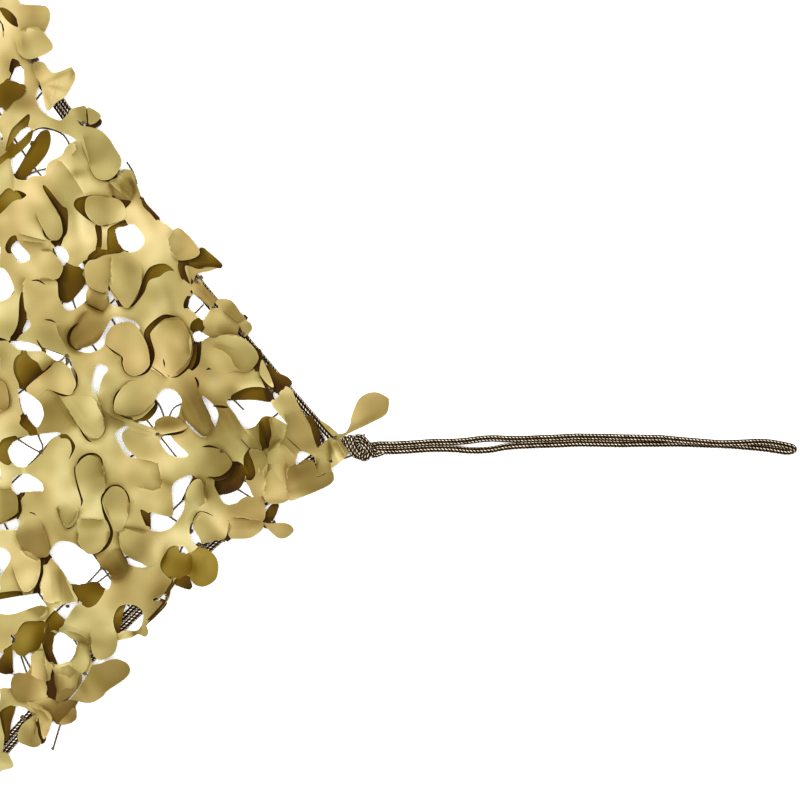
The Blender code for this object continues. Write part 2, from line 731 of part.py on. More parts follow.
def main():
    for old in list(bpy.data.objects):
        bpy.data.objects.remove(old, do_unlink=True)
    group = bpy.data.collections.new("camouflage netting")
    bpy.context.scene.collection.children.link(group)
    cloth = material("sand_coated_cloth", (0.55, 0.43, 0.22), 0.75)
    rope = material("brown_braided_rope", (0.09, 0.05, 0.03), 0.8)
    twine = material("brown_twine", (0.05, 0.035, 0.025), 0.85)
    build_cloth(cloth, group)
    build_mesh_net(twine, group)
    build_ropes(rope, group)
    build_knot(rope, group)
    build_loop(rope, group)
    build_ties(twine, group)


main()
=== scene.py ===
"""Camouflage netting: incised sand cloth laid over twine mesh, roped round its edge.

The panel lies flat on the floor. +X points to the tied corner and its long loop, +Z is up.
The cutting layout is counted in steps of 0.735 mm, called ribs: columns run along +X, rows run
along -Y, and the tied corner is at column 345, row 447.
"""
import math
import random
from functools import partial

import bmesh
import bpy
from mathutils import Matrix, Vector, kdtree, noise
from mathutils.geometry import delaunay_2d_cdt


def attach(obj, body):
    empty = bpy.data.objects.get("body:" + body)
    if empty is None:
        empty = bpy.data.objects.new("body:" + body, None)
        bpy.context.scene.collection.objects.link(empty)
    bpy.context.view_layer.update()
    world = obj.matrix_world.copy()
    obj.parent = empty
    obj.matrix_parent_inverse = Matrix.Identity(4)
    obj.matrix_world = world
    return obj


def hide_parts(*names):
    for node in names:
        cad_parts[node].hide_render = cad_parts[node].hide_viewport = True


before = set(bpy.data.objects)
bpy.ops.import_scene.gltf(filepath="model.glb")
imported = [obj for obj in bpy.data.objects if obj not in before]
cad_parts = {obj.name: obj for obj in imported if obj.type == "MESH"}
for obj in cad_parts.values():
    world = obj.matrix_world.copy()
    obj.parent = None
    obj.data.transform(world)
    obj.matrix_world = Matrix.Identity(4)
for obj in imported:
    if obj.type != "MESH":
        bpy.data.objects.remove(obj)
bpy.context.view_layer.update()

# ---- sizes (metres), the same as the solids' ----
RIB = 0.000735            # the step of the cutting layout, called a rib
SIDE = 0.440
UPPER_SIDE = 127.8        # heading of the upper side from the tied corner, degrees from +X
LOWER_SIDE = 224.5
CORNER = (0.2743, -0.0246)
CORNER_CELL = (345, 447)
BOWS = {"upper": 0.0075, "far_upper": 0.009, "far_lower": 0.011, "lower": 0.0165}
CLOTH_HEIGHT = 0.0125     # the sheet between its ties
CINCH_HEIGHT = 0.0037     # the sheet where it is tied to a mesh knot
EDGE_HEIGHT = 0.0084      # the sheet over the ropes
EDGE_SWAY = 0.0016        # and how far it rises and falls there
LEAST_HEIGHT = 0.0032     # no cloth lies lower than this
CINCH_REACH = 0.020
EDGE_NEAR = 0.030
EDGE_FAR = 0.048
ROPE_D = 0.0050
GAP = 0.0003
MESH_CELLS = 9
ROPE_INSET = 0.0030
ROPE_TURN = 0.045         # share of a side that its rounded corner takes up
ROPE_ENDS = 0.0006        # where the outer rope's ends meet the knot, along +X
MESH_LIE = 0.0009         # the middle of a mesh strand on the floor
RUN_LIE = 0.0022          # and of a loose run of twine over it
SIDE_SPANS = 11
TURN_SPANS = 5

# ---- finishes of the rope, the twine and the cloth (metres) ----
# the rope's picks are drawn 1.3 mm long; the real ones, 0.8 mm long, are too fine to show
BRAID_RING = 0.0013
BRAID_AROUND = 18
BRAID_RELIEF = 0.00020
BRAID_CORE = 0.0047       # the rope under its proud picks
TWINE_D = 0.0012
TWINE_BRAID = {"Pick_length": 0.0014, "Diameter": TWINE_D, "Picks_round": 6, "Relief": 0.00014}
LASHING_BRAID = {"Pick_length": 0.0010, "Diameter": 0.0010, "Picks_round": 6, "Relief": 0.0001}
KNOT_SQUEEZE = 0.84       # how much thinner the rope is drawn in the knot
CLOTH_WALL = 0.00055      # the coated cloth with its dressing
CUT_STEP = 0.0011         # between the points of a cut edge
SHEET_STEP = 0.0028       # between the points inside the sheet
FAR_STEP = 0.0048         # and inside its plainer far stretch
LEAF_STEP = 0.0024
BACK_REACH = 0.0016       # how far a hanging back goes on under the sheet
RIM = 0.0004              # the width of the painted highlight along a cut edge

# The loop's two long runs, every 12 ribs from the tied corner: how far across they lie, in
# ribs. Over its last stations the run out climbs over the run back. Heights in millimetres.
LOOP_FIRST, LOOP_STEP, LOOP_REST = 39, 12, 2.7
LOOP_OUT = [
    2.4, 2.5, 3.2, 4.0, 4.9, 5.1, 5.3, 6.3, 7.9, 8.7, 8.2, 7.9, 8.2, 8.7, 9.1, 9.7, 10.3, 10.2,
    10.1, 9.9, 9.5, 9.3, 9.1, 8.8, 7.7, 6.6, 5.6, 4.6, 3.8, 4.0, 4.5, 5.1, 4.6,
]
LOOP_CLIMB = [2.9, 4.2, 5.0, 5.4, 5.9, 6.6, 7.0, 7.3, 7.4, 7.5, 7.4, 6.9, 5.8, 5.2]
LOOP_BACK = [
    -1.8, -0.5, 0.5, 1.5, 2.1, 2.5, 3.0, 3.4, 3.6, 3.4, 3.4, 3.3, 3.0, 3.1, 3.4, 3.5, 3.6, 3.0,
    2.5, 2.2, 1.7, 1.1, -0.1, -2.3, -3.3, -3.2, -2.1, -1.7, -1.8, -2.4, -3.3, -3.9, -4.0,
]
# Where the loop leaves the knot, turns round and comes back: along, across and height.
LOOP_LEAVES, LOOP_RETURNS = (32.2, 2.5, 2.8), (32.2, -3.9, 2.8)
LOOP_TURN = [
    (433, 3.0, 6.0), (440, 1.6, 7.0), (446.0, 0.0, 6.8), (448.3, -1.9, 5.1),
    (446.4, -3.9, 3.3), (441, -4.5, 2.7), (433, -3.4, 2.7),
]

# Mesh knots that the cloth pulls out of line, and which of them hold a tie.
MESH_SHIFTS = {
    (2, 2): (158, 433), (4, 3): (67, 355), (5, 2): (50, 241), (3, 4): (41, 452),
    (1, 3): (191, 531), (1, 6): (15, 640),
}
CINCHES = [(2, 2), (4, 3), (3, 4), (3, 7), (5, 6), (7, 5), (6, 3), (7, 7), (5, 5)]
TIE_SHARES = {
    "upper": [0.144, 0.264, 0.371, 0.597, 0.698, 0.827],
    "far_upper": [0.14, 0.28, 0.42, 0.58, 0.73, 0.86],
    "far_lower": [0.14, 0.27, 0.42, 0.58, 0.72, 0.86],
    "lower": [0.15, 0.30, 0.426, 0.64, 0.712, 0.876],
}
# Broad rumples: middle, length and width in ribs, turn, height in millimetres.
RUMPLES = [
    (100, 200, 120, 34, 60, 4.0), (205, 370, 90, 40, -50, 3.5), (255, 425, 80, 30, 20, 4.0),
    (120, 560, 120, 36, -30, 3.5), (70, 625, 90, 34, 30, 4.0), (-90, 120, 150, 44, 40, 4.0),
    (-120, 380, 170, 50, -35, 4.5), (-240, 300, 160, 50, 55, 4.0), (-60, 700, 140, 40, 25, 4.0),
    (-200, 520, 160, 46, -20, 4.5), (-340, 420, 130, 40, 70, 3.5),
]


# ---- camera: straight down on the tied corner and its loop ----
CAMERA_HEIGHT = 3.0
FRAME_WIDTH = 0.588       # what the frame takes in, edge to edge
VIEW_CELL = (400, 400)


def rot(vector, degrees):
    """A plane vector turned counter-clockwise."""
    c = math.cos(math.radians(degrees))
    s = math.sin(math.radians(degrees))
    return Vector((vector[0] * c - vector[1] * s, vector[0] * s + vector[1] * c))


def cell(column, row):
    """A place in the cutting layout, as a plane point in metres."""
    return Vector((CORNER[0] + (column - CORNER_CELL[0]) * RIB,
                   CORNER[1] - (row - CORNER_CELL[1]) * RIB))


def laid(flat):
    """The plane points of a flat row of columns and rows."""
    return [cell(column, row) for column, row in zip(flat[::2], flat[1::2])]


def set_camera():
    data = bpy.data.cameras.new("overhead")
    data.sensor_width = 36.0
    data.lens = data.sensor_width * CAMERA_HEIGHT / FRAME_WIDTH
    data.clip_start, data.clip_end = 0.1, 20.0
    camera = bpy.data.objects.new("overhead", data)
    bpy.context.scene.collection.objects.link(camera)
    camera.location = (*cell(*VIEW_CELL), CAMERA_HEIGHT)
    bpy.context.scene.camera = camera


set_camera()


# ---- finishes ----
def sand(hex_value):
    """An sRGB hex colour as linear red, green, blue, alpha."""
    parts = []
    for start in (1, 3, 5):
        part = int(hex_value[start:start + 2], 16) / 255.0
        parts.append(part / 12.92 if part <= 0.04045 else ((part + 0.055) / 1.055) ** 2.4)
    return (*parts, 1.0)


def add_node(tree, kind, settings=None, sockets=None):
    """Add a node, set its properties, and set or link its inputs. A node given as a value
    stands for its first output."""
    node = tree.nodes.new(kind)
    for key, value in (settings or {}).items():
        setattr(node, key, value)
    for key, value in (sockets or {}).items():
        if isinstance(value, bpy.types.Node):
            value = value.outputs[0]
        if isinstance(value, bpy.types.NodeSocket):
            tree.links.new(value, node.inputs[key])
        else:
            node.inputs[key].default_value = value
    return node


def shade_stops(ramp, first, last, *between):
    """Give a ramp its shades, each a place from 0 to 1 and an sRGB hex colour."""
    stops = ramp.color_ramp.elements
    for stop, (place, shade) in zip(stops, (first, last)):
        stop.position, stop.color = place, sand(shade)
    for place, shade in between:
        stops.new(place).color = sand(shade)


def finish_of(name, **sockets):
    """A new material, its tree and its shader, with plain values set on the shader."""
    made = bpy.data.materials.new(name)
    made.use_nodes = True
    shader = made.node_tree.nodes["Principled BSDF"]
    for key, value in sockets.items():
        shader.inputs[key.replace("_", " ")].default_value = value
    return made, made.node_tree, shader


# ---- cutting layout of the cloth (column, row) ----
# Edge of the sheet from the tied corner up the upper side, without its edge leaves.
UPPER_EDGE = [
    331, 437, 318, 447, 315, 438, 310, 425, 297, 402, 292, 390, 284, 386, 277, 390, 270, 386, 256,
    364, 250, 350, 244, 341, 238, 334, 241, 323, 233, 314, 223, 308, 213, 308, 205, 300, 197, 293,
    192, 285, 182, 263, 175, 252, 170, 242, 172, 229, 157, 219, 148, 209, 142, 198, 137, 184, 133,
    172, 124, 170, 117, 176, 108, 178, 99, 168, 85, 132, 80, 124, 72, 113, 61, 121, 44, 113, 37,
    99, 40, 84, 37, 74, 30, 57, 28, 44, 26, 20, 17, -6, 12, -18, -8, -34,
]
# Edge of the sheet from the tied corner along the lower side.
LOWER_EDGE = [
    331, 441, 330, 452, 327, 464, 318, 477, 289, 493, 276, 500, 265, 500, 266, 509, 264, 520, 252,
    527, 238, 530, 228, 534, 203, 543, 190, 557, 186, 568, 175, 580, 170.5, 591, 168.5, 600, 151,
    620.5, 139, 633, 128, 638, 110, 640, 99, 638, 92, 642, 91, 655, 88, 668, 80, 676, 76, 690, 66,
    702, 60, 714, 52, 722, 46, 733, 41, 728, 37, 717, 28, 708, 18, 705, 12, 707, 8, 716, 4, 750, 6,
    762, -8, 784, -14, 800, -34, 806, -44, 824, -62, 830, -70, 850,
]
# Places where a slit has drawn open and nothing lies under it: closed outlines. A doubled
# point is a sharp corner.
OPENINGS = [
    (20, 66, 24, 68, 25, 76, 25, 91, 25, 91, 22, 86, 16, 83, 9, 82, 9, 82, 15, 69),
    (-8, 109, 0, 108, 5, 109, 5, 113, -1, 121, -8, 122),
    (14, 146, 14, 146, 16, 139, 22, 131, 29, 127, 33, 131, 33, 131, 20, 143),
    (34, 132, 42, 128, 52, 129, 70, 136, 77, 141, 77, 141, 71, 144, 66, 149, 62, 156, 50, 163, 47,
     170, 46, 176, 33, 177, 27, 181, 16, 178, 12, 161, 17, 156, 31, 143),
    (18, 241, 23, 246, 32, 257, 30, 261, 24, 263, 19, 262, 12, 250),
    (60, 245, 66, 249, 70, 256, 69, 262, 65, 268, 65, 268, 54, 251),
    (-8, 268, 2, 268, 8, 272, 15, 287, 14, 295, 4, 301, -8, 301),
    (28, 319, 31, 322, 31, 328, 20, 337, 20, 337, 26, 324),
    (10, 341, 27, 342, 54, 351, 65, 356, 58, 361, 52, 358, 46, 353, 40, 351, 25, 351, 19, 349),
    (61, 361, 66, 358, 70, 359, 73, 364, 72, 369, 76, 377, 76, 377, 66, 364),
    (80, 266, 89, 260, 86, 272, 86, 272, 83, 270),
    (87, 284, 90, 290, 88, 300, 78, 308, 71, 311, 66, 309, 62, 302, 62, 302, 70, 302, 80, 292),
    (107, 291, 111, 291, 118, 303, 119, 307, 119, 307, 114, 306, 109, 301),
    (76, 350, 90, 353, 104, 347, 108, 334, 118, 325, 125, 323, 138, 327, 140, 331, 141, 329, 139,
     324, 133, 320, 118, 317, 113, 319, 109, 325, 101, 339, 95, 344, 88, 347),
    (98, 365, 108, 367, 108, 372, 104, 377, 98, 396, 98, 396, 94, 391, 93, 382),
    (20, 388, 27, 391, 40, 401, 44, 408, 44, 418, 36, 428, 24, 413, 20, 396),
    (48, 433, 58, 432, 63, 434, 55, 438, 49, 443, 45, 450, 28, 466, 14, 464, 8, 450, 17, 439, 25,
     436),
    (22, 474, 30, 474, 41, 481, 44, 485, 44, 491, 36, 491, 24, 492, 19, 495, 16, 492, 13, 489, 14,
     479),
    (126, 426, 130, 427, 123, 434, 127, 447, 138, 458, 138, 458, 131, 457, 125, 452, 117, 437, 118,
     431),
    (155, 399, 165, 389, 175, 390, 182, 398, 182, 405, 177, 419, 170, 416, 162, 417, 156, 421, 154,
     427, 148, 426, 134, 421, 143, 417, 155, 405),
    (115, 229, 125, 226, 131, 224, 137, 227, 145, 240, 139, 250, 126, 252, 117, 240),
    (193, 294, 200, 299, 207, 304, 211, 308, 206, 317, 203, 321, 199, 319, 195, 313, 188, 307),
    (194, 332, 199, 330, 206, 335, 210, 337, 206, 339, 202, 342, 196, 342, 193, 338),
    (161, 438, 170, 435, 175, 441, 187, 452, 189, 455, 184, 457, 171, 455, 162, 446),
    (187, 421, 190, 427, 201, 436, 207, 436, 203, 436),
    (203, 396, 213, 403, 218, 410, 219, 417, 216, 427, 216, 427, 208, 411),
    (229, 399, 240, 400, 268, 400, 274, 408, 287, 424, 277, 419, 264, 417, 256, 426, 245, 428, 236,
     415, 228, 404),
    (273, 391, 280, 394, 278, 397, 274, 400, 273, 396),
    (249, 449, 253, 446, 265, 449, 264, 450, 257, 449, 252, 450),
    (173, 486, 178, 480, 190, 475, 196, 477, 189, 486, 186, 493, 184, 510, 174, 525, 166, 530, 157,
     531, 151, 529, 151, 519, 150, 512, 160, 514, 172, 516, 174, 509, 173, 497),
    (215, 484, 221, 494, 236, 490, 242, 485, 245, 480, 254, 496, 247, 496, 241, 499, 236, 503, 224,
     503),
    (300, 451, 312, 455, 316, 460, 316, 470, 312, 462, 307, 460, 297, 465, 296, 460),
    (-8, 525, 5, 523, 20, 518, 19, 529, 14, 529, 0, 530, -8, 531),
    (-8, 546, 8, 549, 12, 558, 5, 571, 2, 576, 0, 562, -8, 560),
    (52, 556, 52, 549, 60, 541, 74, 542, 88, 552, 94, 553, 98, 556, 100, 562, 111, 574, 111, 585,
     107, 589, 100, 584, 99, 582, 92, 582, 76, 585, 71, 583, 62, 568),
    (-8, 599, 0, 598, 25, 594, 42, 592, 44, 596, 46, 602, 48, 606, 40, 605, 15, 613, 0, 613, -8,
     612),
    (82, 602, 76, 606, 66, 620, 66, 620, 58, 611, 55, 609, 60, 605, 75, 601),
    (122, 550, 132, 558, 150, 566, 150, 566, 143, 567, 132, 565, 127, 561),
    (61, 631, 72, 638, 79, 642, 78, 648, 70, 661, 57, 664, 53, 660, 53, 648, 53, 638),
    (179, 546, 184, 546, 188, 550, 188, 554, 184, 553, 179, 552),
    (193, 522, 194, 528, 197, 532, 202, 543, 200, 547, 192, 540, 190, 528),
    (120, 606, 133, 604, 142, 609, 144, 617, 139, 629, 124, 630, 121, 632, 117, 632, 114, 619),
    (161, 595, 166, 594, 166, 599, 162, 599),
    (153, 599, 158, 597, 161, 599, 156, 601),
    (168, 576, 172, 576, 174, 579, 170, 578),
    (12, 634, 16, 634, 17, 640, 16, 646, 18, 652, 24, 655, 32, 651, 33, 658, 31, 667, 27, 672, 20,
     672, 15, 673, 14, 668, 14, 645),
    (-8, 657, 0, 654, 8, 647, -1, 663, -8, 668),
    (-8, 671, 6, 673, 14, 673, 15, 674, 13, 680, 12, 687, 5, 687, -8, 689),
]
# Lobes and folds that lie lower and show the back of the cloth; many also stand for the shade
# in a gap. The place they hang from, how far they drop in millimetres, how dark the back is
# painted (its own brown deepened by painted shade), and the outline.
BACKS = [
    (12, 60, 3, 0.8, 9, 81, 12, 62, 16, 60, 24, 66, 14, 69),
    (-6, 104, -2, 0.5, -8, 92, 0, 89, 6, 85, 14, 83, 21, 86, 23, 90, 26, 88, 26, 91, 20, 97, 13,
     101, 7, 109, 3, 107, -8, 109),
    (10, 146, 1, 0.4, 7, 152, 12, 133, 18, 125, 29, 115, 31, 119, 28, 127, 22, 131, 16, 139, 14,
     146),
    (0, 163, 0, 0.5, -6, 168, 0, 160, 8, 153, 13, 147, 20, 143, 33, 131, 31, 143, 17, 156, 10, 159,
     0, 167),
    (46, 131, 7, 0.72, 15, 178, 22, 163, 37, 137, 44, 131, 50, 132, 51, 142, 48, 152, 42, 161, 28,
     176, 26, 181),
    (46, 187, 4, 0.6, 45, 186, 50, 190, 63, 206, 69, 211, 69, 231, 65, 239, 62, 246, 55, 245, 52,
     242, 59, 240, 63, 236, 62, 219, 46, 192),
    (10, 240, 3, 0.85, 17, 236, 11, 239, 7, 250, 17, 261, 12, 250, 15, 244, 19, 240),
    (24, 296, 4, 0.9, 24, 292, 21, 300, 20, 320, 17, 330, 12, 337, 6, 339, -8, 334, -8, 338, 4,
     341, 19, 336, 28, 317, 26, 308),
    (70, 266, 5, 0.72, 69, 265, 80, 270, 87, 281, 85, 286, 74, 299, 70, 302, 64, 302, 60, 297, 59,
     283, 56, 280, 62, 276),
    (108, 287, 3, 0.9, 108, 285, 112, 287, 118, 297, 126, 307, 126, 307, 119, 307, 118, 302),
    (109, 238, 2, 0.6, 110, 228, 126, 220, 127, 222, 118, 228, 116, 232, 121, 248, 129, 252, 111,
     254, 108, 246, 108, 236),
    (97, 238, 2, 0.8, 96, 226, 102, 227, 103, 240, 102, 250, 97, 251, 98, 240),
    (100, 251, 3, 0.7, 86, 261, 92, 254, 99, 250, 110, 251, 115, 254, 105, 256, 97, 260, 90, 263,
     87, 271, 85, 266),
    (78, 204, 3, 0.75, 94, 196, 84, 197, 77, 200, 75, 206, 79, 212, 90, 221, 104, 227, 110, 225,
     103, 225, 95, 222, 89, 216, 86, 208, 88, 201),
    (10, 194, 1, 0.65, -8, 218, 0, 216, 14, 203, 21, 199, 13, 190, 8, 190, 2, 196, -8, 205),
    (20, 192, 4, 1, 16, 192, 22, 192, 28, 196, 23, 200, 20, 200),
    (160, 266, 3, 0.7, 130, 308, 136, 301, 140, 292, 142, 283, 150, 268, 165, 264, 175, 271, 170,
     271, 165, 273, 160, 277, 150, 281, 145, 293, 136, 305),
    (181, 264, 3, 0.85, 179, 260, 186, 261, 186, 268, 188, 276, 192, 283, 190, 284, 184, 279, 180,
     270),
    (192, 292, 3, 0.9, 192, 290, 193, 293, 187, 306, 189, 311, 185, 309, 184, 305, 186, 299),
    (22, 356, 3, 0.5, 17, 358, 22, 354, 28, 354, 33, 359, 39, 363, 44, 371, 50, 366, 57, 362, 50,
     370, 35, 382, 28, 390, 23, 388, 16, 374, 15, 365),
    (22, 424, 4, 0.85, 20, 398, 24, 415, 27, 414, 30, 420, 38, 430, 38, 433, 30, 432, 21, 424, 22,
     418, 20, 408),
    (4, 444, 4, 0.7, -8, 450, 0, 444, 6, 438, 24, 434, 38, 433, 24, 437, 9, 445, 7, 452, 10, 460,
     14, 464, 6, 464, -8, 452),
    (60, 434, 3, 0.7, 44, 450, 48, 443, 54, 438, 67, 434, 76, 444, 75, 451, 70, 459, 73, 449, 69,
     439, 56, 440),
    (137, 417, 5, 0.7, 116, 411, 125, 416, 135, 417, 143, 414, 150, 408, 155, 401, 158, 404, 156,
     412, 148, 420, 138, 421, 126, 418),
    (250, 386, 5, 0.75, 229, 400, 231, 396, 247, 388, 265, 388, 272, 398, 270, 402, 255, 400, 240,
     400),
    (265, 382, 3, 0.95, 261, 378, 269, 388, 273, 390, 272, 401, 268, 399, 267, 392),
    (258, 354, 3, 0.85, 259, 350, 263, 364, 260, 368, 254, 369, 259, 357),
    (276, 374, 3, 0.85, 269, 366, 274, 373, 287, 379, 290, 384, 286, 386, 283, 390, 275, 388),
    (200, 342, 6, 1, 192, 340, 198, 343, 202, 342, 201, 360, 198, 367, 193, 371, 190, 369, 182,
     372, 188, 368, 194, 350),
    (193, 321, 4, 0.7, 191, 325, 199, 318, 203, 324, 205, 329, 194, 333, 193, 340),
    (240, 463, 6, 0.8, 212, 477, 220, 476, 227, 472, 232, 465, 234, 461, 241, 463, 245, 468, 246,
     475, 240, 488, 227, 494, 221, 493, 217, 487, 215, 480),
    (254, 458, 3, 0.7, 250, 449, 244, 458, 246, 475, 250, 480, 256, 478, 259, 471, 255, 454),
    (190, 484, 3, 0.95, 195, 476, 202, 480, 198, 481, 188, 493, 184, 500, 182, 500, 190, 484),
    (312, 430, 4, 0.95, 310, 417, 318, 432, 318, 440, 319, 448, 316, 444, 311, 427),
    (19, 505, 4, 0.95, 24, 492, 19, 496, 20, 505, 20, 512, 18, 516, 22, 514, 22, 503, 24, 497, 30,
     493, 42, 491),
    (46, 557, 4, 0.8, 41, 559, 46, 556, 51, 555, 49, 563, 42, 564),
    (43, 574, 5, 1, 41, 559, 45, 564, 41, 583, 43, 591, 38, 591, 33, 591, 38, 584, 42, 567),
    (10, 590, 4, 0.75, -8, 598, 0, 597, 33, 590, 30, 592, 18, 590, 0, 592, -8, 593),
    (92, 604, 1, 0.55, 72, 584, 83, 584, 99, 582, 102, 586, 106, 589, 100, 600, 95, 605, 89, 607,
     84, 604, 75, 591),
    (144, 514, 3, 0.8, 142, 509, 147, 511, 151, 513, 151, 529, 147, 525, 142, 513),
    (170, 556, 2, 0.34, 161, 563, 168, 549, 175, 545, 178, 545, 181, 553, 187, 554, 190, 553, 190,
     567, 188, 572, 183, 574, 177, 577, 165, 573),
    (118, 612, 4, 0.7, 116, 610, 126, 604, 124, 612, 121, 628, 121, 632, 117, 632, 114, 626),
    (24, 628, 1, 0.5, 25, 622, 38, 620, 45, 620, 47, 625, 41, 647, 31, 651, 25, 654, 20, 654, 17,
     650, 17, 636),
    (46, 640, 4, 0.85, 45, 632, 55, 631, 54, 640, 53, 650, 58, 664, 52, 663, 47, 657, 43, 641),
    (54, 614, 2, 0.5, 47, 620, 56, 610, 61, 615, 65, 622, 62, 627, 50, 631, 46, 632, 47, 626),
    (8, 652, 3, 0.7, 8, 648, 12, 642, 14, 648, 14, 668, 12, 673, 4, 672, -4, 670, 0, 662),
    (53, 670, 4, 1, 54, 667, 56, 682, 60, 697, 55, 699, 50, 697, 47, 696, 48, 687, 47, 680),
    (8, 708, 3, 0.85, 2, 710, 14, 705, 10, 722, 7, 738, 2, 720),
    (92, 124, 2, 1, 88, 127, 98, 123, 100, 121, 100, 124, 92, 128),
    (88, 112, 2, 1, 87, 111, 89, 111, 89, 123, 87, 123, 86, 117),
    (122, 198, 4, 0.9, 113, 196, 122, 200, 132, 202, 123, 211, 117, 205),
    (148, 206, 1, 0.95, 142, 199, 146, 206, 159, 220, 157, 221, 151, 214, 144, 207),
    (168, 590, 1, 0.95, 174, 582, 169, 590, 168, 600, 149, 620, 148, 619, 166, 599, 167, 590, 172,
     582),
    (40, 716, 1, 1, 38, 713, 41, 718, 45, 736, 42, 741, 39, 732, 37, 722),
    (196, 252, 2, 0.55, 186, 260, 196, 258, 202, 250, 208, 254, 221, 266, 214, 265, 206, 265, 198,
     267),
    (259, 430, 1, 0.12, 259, 422, 270, 418, 271, 427, 272, 436, 270, 445, 267, 449, 261, 449, 259,
     442),
    (205, 555, 3, 0.28, 192, 552, 203, 549, 215, 559, 216, 573, 212, 580, 204, 584, 198, 583, 193,
     578, 190, 571, 190, 561),
    (180, 582, 3, 0.85, 177, 581, 187, 577, 189, 581, 190, 587, 178, 583),
    (272, 508, 3, 0.9, 277, 505, 275, 512, 270, 523, 275, 522, 269, 526, 265, 525, 264, 521, 271,
     508),
]
